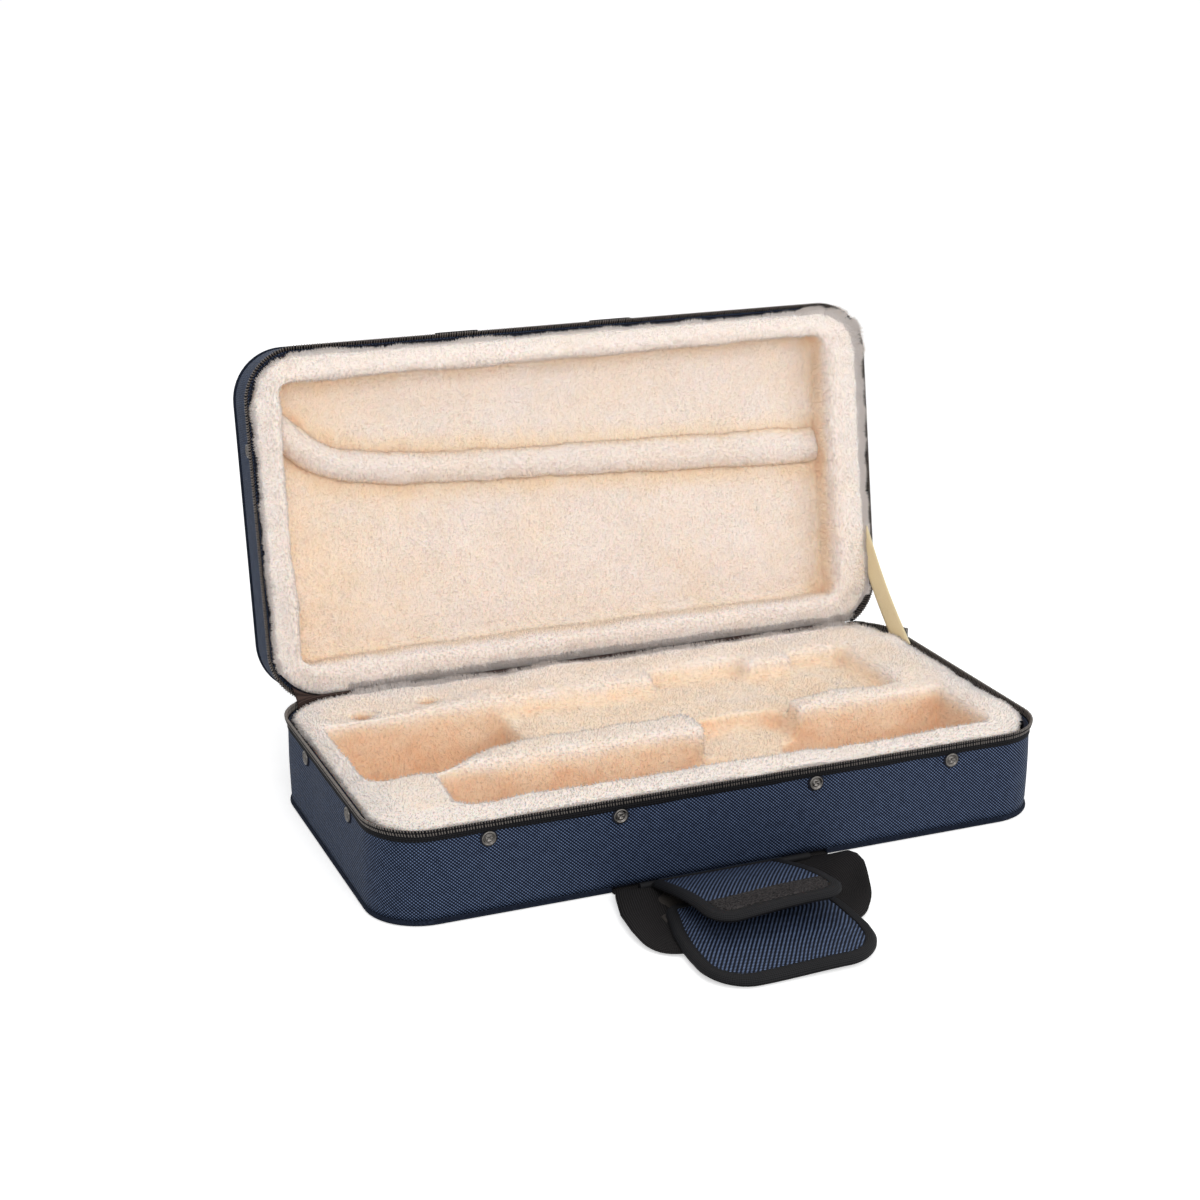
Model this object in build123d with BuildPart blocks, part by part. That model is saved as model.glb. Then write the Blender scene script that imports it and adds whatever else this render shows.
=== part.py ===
from build123d import *
import math
import os

# ---- the case as a whole (millimetres, degrees) ----
case_length = 550.0  # along X, outside of the cover
case_width = 284.0  # along Y, outside of the cover
corner_radius = 42.0  # upright corners, outside of the cover
base_height = 76.0  # floor to the base's zip edge
lid_height = 53.0  # the lid's zip edge to its outer panel
seam_gap = 1.0  # between the two zip edges when the case is shut
lid_opening = 100.0  # turn of the opened lid from shut
hinge_inset = 2.0  # hinge line inside the back wall
hinge_drop = 1.4  # hinge line below the base's zip edge

# ---- skins and boards ----
cover_thickness = 1.2
board_thickness = 2.6
panel_thickness = 1.2
piping_radius = 2.2
piping_proud = 1.2  # how far the piping stands out of the wall
piping_gap = 0.1  # play over the piping, under the walls
panel_gap = 0.2  # play between the piping and the flat panels
wall_drop = 6.0  # wall edge below the zip edge, where the slider runs
soft_gap = 0.3  # play between soft pieces and boards
overcut = 1.0  # how far a cutting shape reaches past what it cuts
lining_thickness = 4.0

# ---- zip ----
tape_thickness = 0.8
tape_drop = 9.0  # lower edge of the tape below the zip edge
chain_height = 3.4
chain_thickness = 2.6
chain_outside = 1.7  # part of the chain outside of the wall's face
zip_end_inset = 3.2  # where both zip halves stop, from the back wall
stop_length = 5.0
stop_proud = 0.4  # metal stop over the chain

# ---- pockets in the base, measured in from the outside walls ----
front_ledge = 22.0
side_ledge_left = 19.0
side_ledge_right = 37.0
bell_floor = 14.0
channel_floor = 59.0
bay_floor = 45.0
trough_floor = 16.0
pocket_round = 9.0
trough_width = 72.0
bell_front = 94.0  # front edge of the bell pocket from the front wall
bell_back = 70.0  # back edge of the bell pocket from the back wall
bell_length = 52.0
bell_throat = 138.0  # where the bell pocket has narrowed to its throat
bell_overlap = 30.0  # how far its throat runs into the channel
channel_round = 5.0
bay_round = 6.0
channel_front = 129.0  # front edge of the channel from the front wall
channel_back = 72.0
channel_right = 66.0
recess_back = 52.0
recess_start = 304.0  # valve slide recess, from the left wall
recess_length = 84.0
notch_start = 430.0
notch_length = 56.0
notch_back = 60.0
bay_start = 295.0  # valve bay, from the left wall
bay_length = 88.0
bay_back = 146.0  # back edge of the bay from the front wall
trough_start = 72.0
right_trough_width = 84.0
socket_radius = 8.0
socket_floor = 24.0
large_socket = (56.0, 55.0)  # from the left wall, from the back wall
small_socket = (114.0, 43.0)

# ---- recess in the lid ----
lid_border = 24.0
lid_border_back = 27.0
lid_border_side = 24.0
lid_border_right = 36.0
lid_recess_depth = 34.0
lid_recess_round = 14.0
bolster_radius = 15.0
bolster_sink = 5.0  # the roll's middle above the recess floor
bolster_left = 38.0  # the roll's ends from the side walls
bolster_right = 38.0
bolster_start = 71.0  # from the front wall: its left end, its two bends and its right end
bolster_knee = 88.0
bolster_dip = 105.0
bolster_end = 124.0
bolster_knee_x = 62.0  # the bends, from the left wall
bolster_dip_x = 152.0
bolster_bend = 30.0

# ---- rivets ----
rivet_radius = 5.8
rivet_head = 1.7
rivet_shank = 2.0
rivet_play = 0.1
rivet_step = 0.5
rivet_groove = 0.9
groove_outer = 4.2
groove_inner = 2.6
rivet_drop = 15.0  # rivet centre from the zip edge
rivet_from_left = (81.0, 183.0)  # the front wall's rivets, from the side walls
rivet_from_right = (207.0, 89.0)
rivet_from_front = 78.0  # the side walls' rivets
rivet_from_back = 90.0

# ---- hinge ----
spine_radius = 1.5
leaf_thickness = 1.0
hinge_length = 430.0
hinge_gap = 0.1

# ---- webbing handles ----
webbing_width = 38.0
webbing_thickness = 2.0
handle_x = (-80.0, 60.0)  # where the two ends are sewn in
handle_reach = 108.0  # from the sewn ends to the far edge of the hand run
handle_bulge = 12.0  # how far the hand run reaches past the sewn ends
handle_round = 24.0
handle_inner_round = 5.0
tab_proud = 3.0  # how far the sewn tabs stand out of the wall
knuckle_gap = 0.3

# ---- grip flaps on the base handle ----
grip_upper_x = -18.0
grip_lower_x = -24.0
spine_out = 8.0  # grip spine's middle from the case wall
grip_spine_radius = 2.8
grip_thickness = 5.0
grip_gap = 0.4
upper_width = 106.0
upper_length = 110.0
upper_tilt = 11.0
upper_round = 14.0
lower_width = 138.0
seat_length = 61.4  # part of the lower flap that is sewn over the hand run
leaf_length = 45.0  # part of the lower flap that turns
lower_lap = 13.3  # how far its seat reaches past the hand run
seat_round = 10.0
leaf_round = 24.0
pad_lift = 0.9  # the seat's underside over the webbing, with its binding between
binding_width = 9.0
binding_proud = 0.6
strip_width = 18.0
strip_thickness = 0.9
strip_gap = 0.5  # from the binding

# ---- lid stay ----
stay_width = 25.0
stay_thickness = 0.8
stay_base_back = 62.0  # the ribbon's middle at each wall, from the back wall
stay_lid_back = 77.0
stay_inset = 2.8  # from the right wall's face

# ---- zip slider ----
slider_length = 12.0
slider_height = 10.0
slider_round = 2.5
slider_plate = 1.2
slider_play = 0.3
slider_web = 0.5
slider_back = 48.0  # parked place on the right wall, from the back wall
pin_radius = 0.8
pin_out = 2.2  # pull's pin from the slider's face
ear_gap = 5.0
ear_thickness = 1.0
ear_length = 3.6
ear_width = 3.2
pull_length = 24.0
pull_neck = 5.0
pull_width = 6.0
pull_thickness = 1.4
pull_slot_length = 9.0
pull_slot_width = 2.6
pull_slot_middle = 16.5
eye_radius = 1.8
pin_play = 0.06
pull_gap = 0.25

half_length = case_length / 2
half_width = case_width / 2
left, right = -half_length, half_length
front, back = -half_width, half_width
lid_rim = base_height + seam_gap
wall_thickness = cover_thickness + board_thickness
lining_inset = wall_thickness + soft_gap
piping_height = 2 * piping_radius
piping_inset = piping_radius - piping_proud
panel_inset = piping_height - piping_proud + panel_gap
floor_top = panel_thickness + board_thickness
hinge_y = half_width - hinge_inset
hinge_z = base_height - hinge_drop
turn = math.radians(lid_opening)
wall_foot = piping_height + piping_gap
wall_top = base_height - wall_drop
seam_z = base_height + seam_gap / 2
zip_end_y = back - zip_end_inset
chain_end_y = zip_end_y - stop_length
rivet_front_x = [left + x for x in rivet_from_left] + [right - x for x in rivet_from_right]
base_rivet_side_y = [front + rivet_from_front, back - rivet_from_back]
lid_rivet_side_y = [front + rivet_from_front]
stay_base_y = back - stay_base_back
stay_lid_y = back - stay_lid_back
slider_y = back - slider_back
rivet_z = base_height - rivet_drop
half_web = webbing_width / 2


def opened(y, z):
    """A point of the shut lid, carried to where the opened lid has it."""
    dy, dz = y - hinge_y, z - hinge_z
    return (
        hinge_y + dy * math.cos(turn) + dz * math.sin(turn),
        hinge_z - dy * math.sin(turn) + dz * math.cos(turn),
    )


lid_origin = (0, *opened(0, lid_rim))
lid_up = (0, math.sin(turn), math.cos(turn))
base_plane = Plane.XY
lid_plane = Plane(origin=lid_origin, x_dir=(1, 0, 0), z_dir=lid_up)


def outline(inset):
    """The case's plan, drawn in by inset, in the sketch that is open."""
    RectangleRounded(
        case_length - 2 * inset, case_width - 2 * inset, corner_radius - inset
    )


def slab(plane, low, high, inset, mode=Mode.ADD):
    """A full plate of the case's plan between two heights over a plane."""
    with BuildSketch(plane.offset(low)) as plan:
        outline(inset)
    extrude(plan.sketch, amount=high - low, mode=mode)


def ring(plane, low, high, outer, inner):
    """An upright band round the case between two insets."""
    with BuildSketch(plane.offset(low)) as band:
        outline(outer)
        RectangleRounded(
            case_length - 2 * inner,
            case_width - 2 * inner,
            corner_radius - inner,
            mode=Mode.SUBTRACT,
        )
    extrude(band.sketch, amount=high - low)


def beyond(plane, low, high, from_y):
    """Takes away everything behind from_y."""
    with BuildSketch(plane.offset(low - overcut)) as rear:
        with Locations((0, from_y + half_width)):
            Rectangle(2 * case_length, 2 * half_width)
    extrude(rear.sketch, amount=high - low + 2 * overcut, mode=Mode.SUBTRACT)


def pocket(plane, points, floor, grow, top, fillet_radius=pocket_round):
    """Sinks a pocket with rounded corners, grown by the lining's thickness for the foam."""
    with BuildSketch(plane.offset(floor - grow)) as plan:
        with BuildLine():
            Polyline(*points, close=True)
        make_face()
        fillet(plan.vertices(), radius=fillet_radius)
        if grow > 0:
            offset(amount=grow)
    extrude(plan.sketch, amount=top - floor + grow, mode=Mode.SUBTRACT)


def socket(plane, centre, radius, floor, grow, top):
    """Sinks a round socket."""
    with BuildSketch(plane.offset(floor - grow)) as hole:
        with Locations(centre):
            Circle(radius + grow)
    extrude(hole.sketch, amount=top - floor + grow, mode=Mode.SUBTRACT)


def rectangle_points(x0, x1, y0, y1):
    return [(x0, y0), (x1, y0), (x1, y1), (x0, y1)]


def block(plane, x0, x1, y0, y1, z0, z1, mode=Mode.ADD):
    """A block given by its corners in a plane's own directions."""
    with BuildSketch(plane.offset(z0)) as plan:
        with Locations(((x0 + x1) / 2, (y0 + y1) / 2)):
            Rectangle(x1 - x0, y1 - y0)
    extrude(plan.sketch, amount=z1 - z0, mode=mode)


def wall_face(frame, point, along, normal):
    """A plane standing on a wall, given in the directions of a frame."""
    middle = frame.from_local_coords(Vector(0, 0, 0))
    return Plane(
        origin=frame.from_local_coords(Vector(*point)),
        x_dir=frame.from_local_coords(Vector(*along)) - middle,
        z_dir=frame.from_local_coords(Vector(*normal)) - middle,
    )


def riveted_walls(frame, height, side_y):
    """Each riveted wall's plane, with the places of its rivets."""
    front_wall = wall_face(frame, (0, front, height), (1, 0, 0), (0, -1, 0))
    left_wall = wall_face(frame, (left, 0, height), (0, -1, 0), (-1, 0, 0))
    right_wall = wall_face(frame, (right, 0, height), (0, 1, 0), (1, 0, 0))
    return [
        (front_wall, [(x, 0) for x in rivet_front_x]),
        (left_wall, [(-y, 0) for y in side_y]),
        (right_wall, [(y, 0) for y in side_y]),
    ]


def discs(plane, low, high, radius, places, inner=0, mode=Mode.ADD):
    """Round discs, or rings, at the same height over a plane."""
    with BuildSketch(plane.offset(low)) as round_plan:
        with Locations(*places):
            Circle(radius)
            if inner > 0:
                Circle(inner, mode=Mode.SUBTRACT)
    extrude(round_plan.sketch, amount=high - low, mode=mode)


def rivet_holes(frame, height, side_y):
    """Takes the rivets' holes out of a wall."""
    for plane, places in riveted_walls(frame, height, side_y):
        hole = rivet_shank + rivet_play
        discs(plane, -wall_thickness - overcut, overcut, hole, places, mode=Mode.SUBTRACT)


def rivets(frame, height, side_y):
    """Cap rivets: a ringed head outside, a shank through cover and board."""
    for plane, places in riveted_walls(frame, height, side_y):
        discs(plane, 0, rivet_head - rivet_step, rivet_radius, places)
        discs(plane, rivet_head - rivet_step, rivet_head, rivet_radius - rivet_step, places)
        groove_low = rivet_head - rivet_groove
        discs(plane, groove_low, rivet_head, groove_outer, places, groove_inner, Mode.SUBTRACT)
        discs(plane, -wall_thickness, 0, rivet_shank, places)


# ---- plan of the base's pockets ----
ledge_y = front + front_ledge
island_y = ledge_y + trough_width
bell_x = left + side_ledge_left
bell_plan = [
    (bell_x, front + bell_front),
    (bell_x + bell_length, front + bell_front),
    (left + bell_throat, front + channel_front),
    (left + bell_throat + bell_overlap, front + channel_front),
    (left + bell_throat + bell_overlap, back - channel_back),
    (bell_x, back - bell_back),
]
channel_plan = [
    (left + bell_throat, front + channel_front),
    (right - channel_right, front + channel_front),
    (right - channel_right, back - notch_back),
    (left + notch_start, back - notch_back),
    (left + notch_start, back - channel_back),
    (left + recess_start + recess_length, back - channel_back),
    (left + recess_start + recess_length, back - recess_back),
    (left + recess_start, back - recess_back),
    (left + recess_start, back - channel_back),
    (left + bell_throat, back - channel_back),
]
bay_plan = rectangle_points(
    left + bay_start, left + bay_start + bay_length, ledge_y, front + bay_back
)
left_trough_plan = rectangle_points(
    left + trough_start, left + bay_start + 2 * pocket_round, ledge_y, island_y
)
right_trough_plan = rectangle_points(
    left + bay_start + bay_length - 2 * pocket_round,
    right - side_ledge_right,
    ledge_y,
    ledge_y + right_trough_width,
)
large_centre = (left + large_socket[0], back - large_socket[1])
small_centre = (left + small_socket[0], back - small_socket[1])


def base_pockets(grow, top):
    """Every hollow of the base's inside."""
    pocket(base_plane, bell_plan, bell_floor, grow, top)
    pocket(base_plane, channel_plan, channel_floor, grow, top, channel_round)
    pocket(base_plane, bay_plan, bay_floor, grow, top, bay_round)
    pocket(base_plane, left_trough_plan, trough_floor, grow, top)
    pocket(base_plane, right_trough_plan, trough_floor, grow, top)
    for centre in (large_centre, small_centre):
        socket(base_plane, centre, socket_radius, socket_floor, grow, top)


def piping(plane, low):
    """A cord round the case, left open where the handle's ends come out."""
    with BuildLine(plane.offset(low + piping_radius)) as path:
        FilletPolyline(
            *rectangle_points(
                left + piping_inset,
                right - piping_inset,
                front + piping_inset,
                back - piping_inset,
            ),
            radius=corner_radius - piping_inset,
            close=True,
        )
    with BuildSketch(path.line ^ 0) as cord:
        Circle(piping_radius)
    sweep(cord.sketch, path=path.line)
    room = half_web + knuckle_gap
    for x in handle_x:
        block(
            plane,
            x - room,
            x + room,
            front - piping_height,
            front + piping_height,
            low,
            low + piping_height,
            Mode.SUBTRACT,
        )


# ---- base: skins and boards ----
with BuildPart() as base_bottom_panel:
    slab(base_plane, 0, panel_thickness, panel_inset)

with BuildPart() as base_piping:
    piping(base_plane, 0)

with BuildPart() as base_tray:
    slab(base_plane, panel_thickness, wall_foot, panel_inset)
    slab(base_plane, wall_foot, wall_top, cover_thickness)
    slab(base_plane, floor_top, wall_top, wall_thickness, Mode.SUBTRACT)
    rivet_holes(base_plane, rivet_z, base_rivet_side_y)

with BuildPart() as base_cover:
    ring(base_plane, wall_foot, wall_top, 0, cover_thickness)
    rivet_holes(base_plane, rivet_z, base_rivet_side_y)

with BuildPart() as base_rivets:
    rivets(base_plane, rivet_z, base_rivet_side_y)

# ---- base: foam block, plush lining ----
foam_top = base_height - lining_thickness

with BuildPart() as base_foam:
    slab(base_plane, floor_top, foam_top, lining_inset)
    base_pockets(lining_thickness, base_height)

with BuildPart() as base_plush:
    slab(base_plane, floor_top, base_height, lining_inset)
    base_pockets(0, base_height)
    add(base_foam.part, mode=Mode.SUBTRACT)


# ---- zip halves: tape, chain and end stops, the same on base and lid ----
def zip_band(plane, low, high, proud, thickness, to_y):
    """A band round the front and sides that stops at to_y."""
    ring(plane, low, high, -proud, thickness - proud)
    beyond(plane, low, high, to_y)


with BuildPart() as base_zip_tape:
    tape_low, tape_high = base_height - tape_drop, base_height - chain_height
    zip_band(base_plane, tape_low, tape_high, tape_thickness, tape_thickness, zip_end_y)

with BuildPart() as base_zip_chain:
    zip_band(
        base_plane,
        base_height - chain_height,
        base_height,
        chain_outside,
        chain_thickness,
        chain_end_y,
    )

with BuildPart() as base_zip_stops:
    zip_band(
        base_plane,
        base_height - chain_height,
        base_height,
        chain_outside + stop_proud,
        chain_thickness + 2 * stop_proud,
        zip_end_y,
    )
    with BuildSketch(base_plane) as behind_chain:
        with Locations((0, chain_end_y - half_width)):
            Rectangle(2 * case_length, 2 * half_width)
    extrude(behind_chain.sketch, amount=2 * base_height, mode=Mode.SUBTRACT)

with BuildPart() as lid_zip_tape:
    zip_band(lid_plane, chain_height, tape_drop, tape_thickness, tape_thickness, zip_end_y)

with BuildPart() as lid_zip_chain:
    zip_band(lid_plane, 0, chain_height, chain_outside, chain_thickness, chain_end_y)

# ---- lid: skins, boards, foam and lining, built in the opened lid's own plane ----
lid_wall_head = lid_height - wall_foot
lid_floor = lid_height - floor_top

with BuildPart() as lid_top_panel:
    slab(lid_plane, lid_height - panel_thickness, lid_height, panel_inset)

with BuildPart() as lid_piping:
    piping(lid_plane, lid_height - piping_height)

with BuildPart() as lid_tray:
    slab(lid_plane, lid_wall_head, lid_height - panel_thickness, panel_inset)
    slab(lid_plane, wall_drop, lid_wall_head, cover_thickness)
    slab(lid_plane, wall_drop, lid_floor, wall_thickness, Mode.SUBTRACT)
    rivet_holes(lid_plane, rivet_drop, lid_rivet_side_y)

with BuildPart() as lid_cover:
    ring(lid_plane, wall_drop, lid_wall_head, 0, cover_thickness)
    rivet_holes(lid_plane, rivet_drop, lid_rivet_side_y)

with BuildPart() as lid_rivets:
    rivets(lid_plane, rivet_drop, lid_rivet_side_y)

lid_recess_plan = rectangle_points(
    left + lid_border_side,
    right - lid_border_right,
    front + lid_border,
    back - lid_border_back,
)


def lid_recess(grow):
    """The hollow of the lid, sunk from its zip edge."""
    with BuildSketch(lid_plane) as plan:
        with BuildLine():
            Polyline(*lid_recess_plan, close=True)
        make_face()
        fillet(plan.vertices(), radius=lid_recess_round)
        if grow > 0:
            offset(amount=grow)
    extrude(plan.sketch, amount=lid_recess_depth + grow, mode=Mode.SUBTRACT)


with BuildPart() as lid_foam:
    slab(lid_plane, lining_thickness, lid_floor, lining_inset)
    lid_recess(lining_thickness)

with BuildPart() as lid_plush:
    slab(lid_plane, 0, lid_floor, lining_inset)
    lid_recess(0)
    add(lid_foam.part, mode=Mode.SUBTRACT)

# a padded roll across the recess, bent up at its left end
bolster_line = [
    (left + bolster_left, front + bolster_start),
    (left + bolster_knee_x, front + bolster_knee),
    (left + bolster_dip_x, front + bolster_dip),
    (right - bolster_right, front + bolster_end),
]
with BuildPart() as lid_bolster:
    with BuildLine(lid_plane.offset(lid_recess_depth)) as bolster_path:
        FilletPolyline(*bolster_line, radius=bolster_bend)
    start = bolster_path.line @ 0
    heading = bolster_path.line % 0
    with BuildSketch(Plane(origin=start, x_dir=Vector(*lid_up), z_dir=heading)):
        with Locations((-bolster_sink, 0)):
            Circle(bolster_radius)
        with Locations((2 * bolster_radius, 0)):
            Rectangle(4 * bolster_radius, 4 * bolster_radius, mode=Mode.SUBTRACT)
    sweep(path=bolster_path.line)



# ---- hinge: two fabric leaves that meet at a corded spine ----
leaf_reach = spine_radius + hinge_gap
leaf_front = hinge_y - leaf_thickness / 2
leaf_back = hinge_y + leaf_thickness / 2
half_hinge = hinge_length / 2

with BuildPart() as hinge_leaf_base:
    block(base_plane, -half_hinge, half_hinge, leaf_front, leaf_back, wall_top, hinge_z - leaf_reach)

with BuildPart() as hinge_leaf_lid:
    leaf_low = hinge_z + leaf_reach - lid_rim
    block(lid_plane, -half_hinge, half_hinge, leaf_front, leaf_back, leaf_low, wall_drop)

with BuildPart() as hinge_spine:
    with BuildSketch(Plane.YZ.offset(-half_hinge)):
        with Locations((hinge_y, hinge_z)):
            Circle(spine_radius)
    extrude(amount=hinge_length)

# ---- lid stay: a flat ribbon between the right-hand walls ----
stay_lid_point = opened(stay_lid_y, lid_rim + wall_drop)
stay_run = (stay_lid_point[0] - stay_base_y, stay_lid_point[1] - wall_top)
stay_slope = math.atan2(stay_run[1], stay_run[0])
stay_cut = stay_width / 2 / math.sin(stay_slope)
lid_slope = math.pi - turn
stay_lid_cut = stay_width / 2 / math.sin(lid_slope - stay_slope)
stay_lid_step = (stay_lid_cut * math.cos(lid_slope), stay_lid_cut * math.sin(lid_slope))

with BuildPart() as lid_stay:
    with BuildSketch(Plane.YZ.offset(right - stay_inset - stay_thickness)):
        with BuildLine():
            Polyline(
                (stay_base_y - stay_cut, wall_top),
                (stay_base_y + stay_cut, wall_top),
                (stay_lid_point[0] - stay_lid_step[0], stay_lid_point[1] - stay_lid_step[1]),
                (stay_lid_point[0] + stay_lid_step[0], stay_lid_point[1] + stay_lid_step[1]),
                close=True,
            )
        make_face()
    extrude(amount=stay_thickness)

# ---- webbing handles, laid out from the knuckle where they turn ----
half_thick = webbing_thickness / 2
knuckle_y = front - tab_proud - knuckle_gap - half_thick
base_handle_plane = Plane(origin=(0, knuckle_y, half_thick), x_dir=(1, 0, 0), z_dir=(0, 0, -1))
lid_knuckle_y = front - tab_proud + half_thick
lid_knuckle_z = lid_height + knuckle_gap + half_thick
lid_knuckle = lid_plane.from_local_coords(Vector(0, lid_knuckle_y, lid_knuckle_z))
lid_handle_plane = Plane(origin=lid_knuckle, x_dir=(1, 0, 0), z_dir=(0, 1, 0))


def sewn_tabs(plane, low, high):
    """The ends of a handle, sewn into the seam beside the piping."""
    for x in handle_x:
        block(plane, x - half_web, x + half_web, front - tab_proud, front + panel_inset, low, high)


def fork(x0, x1, reach):
    """Corners of a shape that spreads a little from the sewn ends outwards."""
    return [(x0, 0), (x0 - handle_bulge, reach), (x1 + handle_bulge, reach), (x1, 0)]


def rounded_far_side(plane, points, radius, thickness, mode=Mode.ADD):
    """A flat shape with its two far corners rounded, even about a plane."""
    with BuildSketch(plane) as plan:
        with BuildLine():
            Polyline(*points, close=True)
        make_face()
        fillet(plan.vertices().group_by(Axis.Y)[-1], radius=radius)
    extrude(plan.sketch, amount=thickness / 2, both=True, mode=mode)


def strap_loop(plane):
    """A flat U of webbing: two legs joined by the hand run."""
    x0, x1 = handle_x
    outside = fork(x0 - half_web, x1 + half_web, handle_reach)
    inside = fork(x0 + half_web, x1 - half_web, handle_reach - webbing_width)
    rounded_far_side(plane, outside, handle_round, webbing_thickness)
    rounded_far_side(plane, inside, handle_inner_round, 2 * webbing_thickness, Mode.SUBTRACT)


def knuckles(plane):
    """The rounded ends that turn next to the tabs."""
    for x in handle_x:
        side = Plane(
            origin=plane.from_local_coords(Vector(x - half_web, 0, 0)),
            x_dir=plane.y_dir,
            z_dir=plane.x_dir,
        )
        with BuildSketch(side) as end:
            Circle(half_thick)
        extrude(end.sketch, amount=webbing_width)


with BuildPart() as base_handle_tabs:
    sewn_tabs(base_plane, 0, webbing_thickness)

with BuildPart() as lid_handle_tabs:
    sewn_tabs(lid_plane, lid_height - webbing_thickness, lid_height)

with BuildPart() as base_handle_webbing:
    strap_loop(base_handle_plane)
    knuckles(base_handle_plane)

with BuildPart() as lid_handle_webbing:
    strap_loop(lid_handle_plane)
    knuckles(lid_handle_plane)


# ---- grip: a padded wrap that lies open on the base handle ----
half_pad = grip_thickness / 2
strip_level = half_pad + strip_thickness / 2
grip_spine_y = front - spine_out
grip_spine_z = webbing_thickness + soft_gap + grip_spine_radius
upper_plane = Plane(
    origin=(grip_upper_x, grip_spine_y, grip_spine_z),
    x_dir=(1, 0, 0),
    z_dir=(0, -math.sin(math.radians(upper_tilt)), -math.cos(math.radians(upper_tilt))),
)
lower_pivot_y = knuckle_y - handle_reach - lower_lap
lower_pivot_z = webbing_thickness + pad_lift + half_pad
lower_plane = Plane(
    origin=(grip_lower_x, lower_pivot_y, lower_pivot_z), x_dir=(1, 0, 0), z_dir=(0, 0, -1)
)


def flap(plane, width, y0, y1, depth, near_round, far_round, mode=Mode.ADD):
    """A flat pad from y0 to y1, even about a plane, its corners rounded where asked."""
    with BuildSketch(plane) as plan:
        with Locations((0, (y0 + y1) / 2)):
            Rectangle(width, y1 - y0)
        if near_round > 0:
            fillet(plan.vertices().group_by(Axis.Y)[0], radius=near_round)
        if far_round > 0:
            fillet(plan.vertices().group_by(Axis.Y)[-1], radius=far_round)
    extrude(plan.sketch, amount=depth / 2, both=True, mode=mode)


def binding(plane, width, y0, y1, near_round, far_round):
    """Tape folded over a flap's sides, and over each end that is rounded."""
    near = near_round > 0
    far = far_round > 0
    flap(
        plane,
        width + 2 * binding_proud,
        y0 - near * binding_proud,
        y1 + far * binding_proud,
        grip_thickness + 2 * binding_proud,
        near_round + near * binding_proud,
        far_round + far * binding_proud,
    )
    flap(
        plane,
        width - 2 * binding_width,
        y0 + (binding_width if near else -overcut),
        y1 - (binding_width if far else -overcut),
        3 * grip_thickness,
        max(near_round - binding_width, 0),
        max(far_round - binding_width, 0),
        Mode.SUBTRACT,
    )
    near_end = y0 if near else y0 - overcut
    far_end = y1 if far else y1 + overcut
    flap(plane, width, near_end, far_end, grip_thickness, near_round, far_round, Mode.SUBTRACT)


def fastening_strip(plane, width, y1, far_round, middle):
    """A strip of hook or loop along a flap's far edge, inside the binding."""
    margin = binding_width + strip_gap
    strip_end = y1 - margin
    strip_plane = plane.offset(middle)
    strip_start = strip_end - strip_width
    strip_round = far_round - margin
    flap(strip_plane, width - 2 * margin, strip_start, strip_end, strip_thickness, 0, strip_round)


with BuildPart() as grip_spine:
    with BuildSketch(Plane.YZ.offset(handle_x[0])):
        with Locations((grip_spine_y, grip_spine_z)):
            Circle(grip_spine_radius)
    extrude(amount=handle_x[1] - handle_x[0])

upper_near = grip_spine_radius + grip_gap
upper_far = upper_near + upper_length
with BuildPart() as grip_upper_panel:
    flap(upper_plane, upper_width, upper_near, upper_far, grip_thickness, 0, upper_round)

with BuildPart() as grip_upper_binding:
    binding(upper_plane, upper_width, upper_near, upper_far, 0, upper_round)

with BuildPart() as grip_loop_strip:
    fastening_strip(upper_plane, upper_width, upper_far, upper_round, -strip_level)

seat_far = -grip_gap / 2
seat_near = seat_far - seat_length
with BuildPart() as grip_seat_panel:
    flap(lower_plane, lower_width, seat_near, seat_far, grip_thickness, seat_round, 0)

with BuildPart() as grip_seat_binding:
    binding(lower_plane, lower_width, seat_near, seat_far, seat_round, 0)

leaf_near = grip_gap / 2
leaf_far = leaf_near + leaf_length
with BuildPart() as grip_leaf_panel:
    flap(lower_plane, lower_width, leaf_near, leaf_far, grip_thickness, 0, leaf_round)

with BuildPart() as grip_leaf_binding:
    binding(lower_plane, lower_width, leaf_near, leaf_far, 0, leaf_round)

with BuildPart() as grip_hook_strip:
    fastening_strip(lower_plane, lower_width, leaf_far, leaf_round, strip_level)

# ---- zip slider on the right wall, and its pull ----
plate_inner_face = right + chain_outside - chain_thickness - slider_play
plate_outer_face = right + chain_outside + slider_play
pin_x = plate_outer_face + slider_plate + pin_out
ear_reach = plate_outer_face + slider_plate + ear_length


def slider_face(x):
    """The plane of a slider's plate: local x along the wall, local y upwards."""
    return Plane(origin=(x, slider_y, seam_z), x_dir=(0, 1, 0), z_dir=(1, 0, 0))


with BuildPart() as zip_slider:
    for x in (plate_inner_face - slider_plate, plate_outer_face):
        with BuildSketch(slider_face(x)) as plate:
            RectangleRounded(slider_length, slider_height, slider_round)
        extrude(plate.sketch, amount=slider_plate)
    with BuildSketch(slider_face(plate_inner_face)) as web:
        Rectangle(slider_length / 3, slider_web)
    extrude(web.sketch, amount=plate_outer_face - plate_inner_face)
    for z in (-ear_gap / 2 - ear_thickness, ear_gap / 2):
        with BuildSketch(Plane.XY.offset(seam_z + z)) as ear:
            with Locations(((plate_outer_face + ear_reach) / 2, slider_y)):
                Rectangle(ear_reach - plate_outer_face, ear_width)
            with Locations((pin_x, slider_y)):
                Circle(pin_radius, mode=Mode.SUBTRACT)
        extrude(ear.sketch, amount=ear_thickness)

half_pin = ear_gap / 2 + ear_thickness
with BuildPart() as slider_pin:
    with BuildSketch(Plane.XY.offset(seam_z - half_pin)):
        with Locations((pin_x, slider_y)):
            Circle(pin_radius)
    extrude(amount=2 * half_pin)

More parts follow.
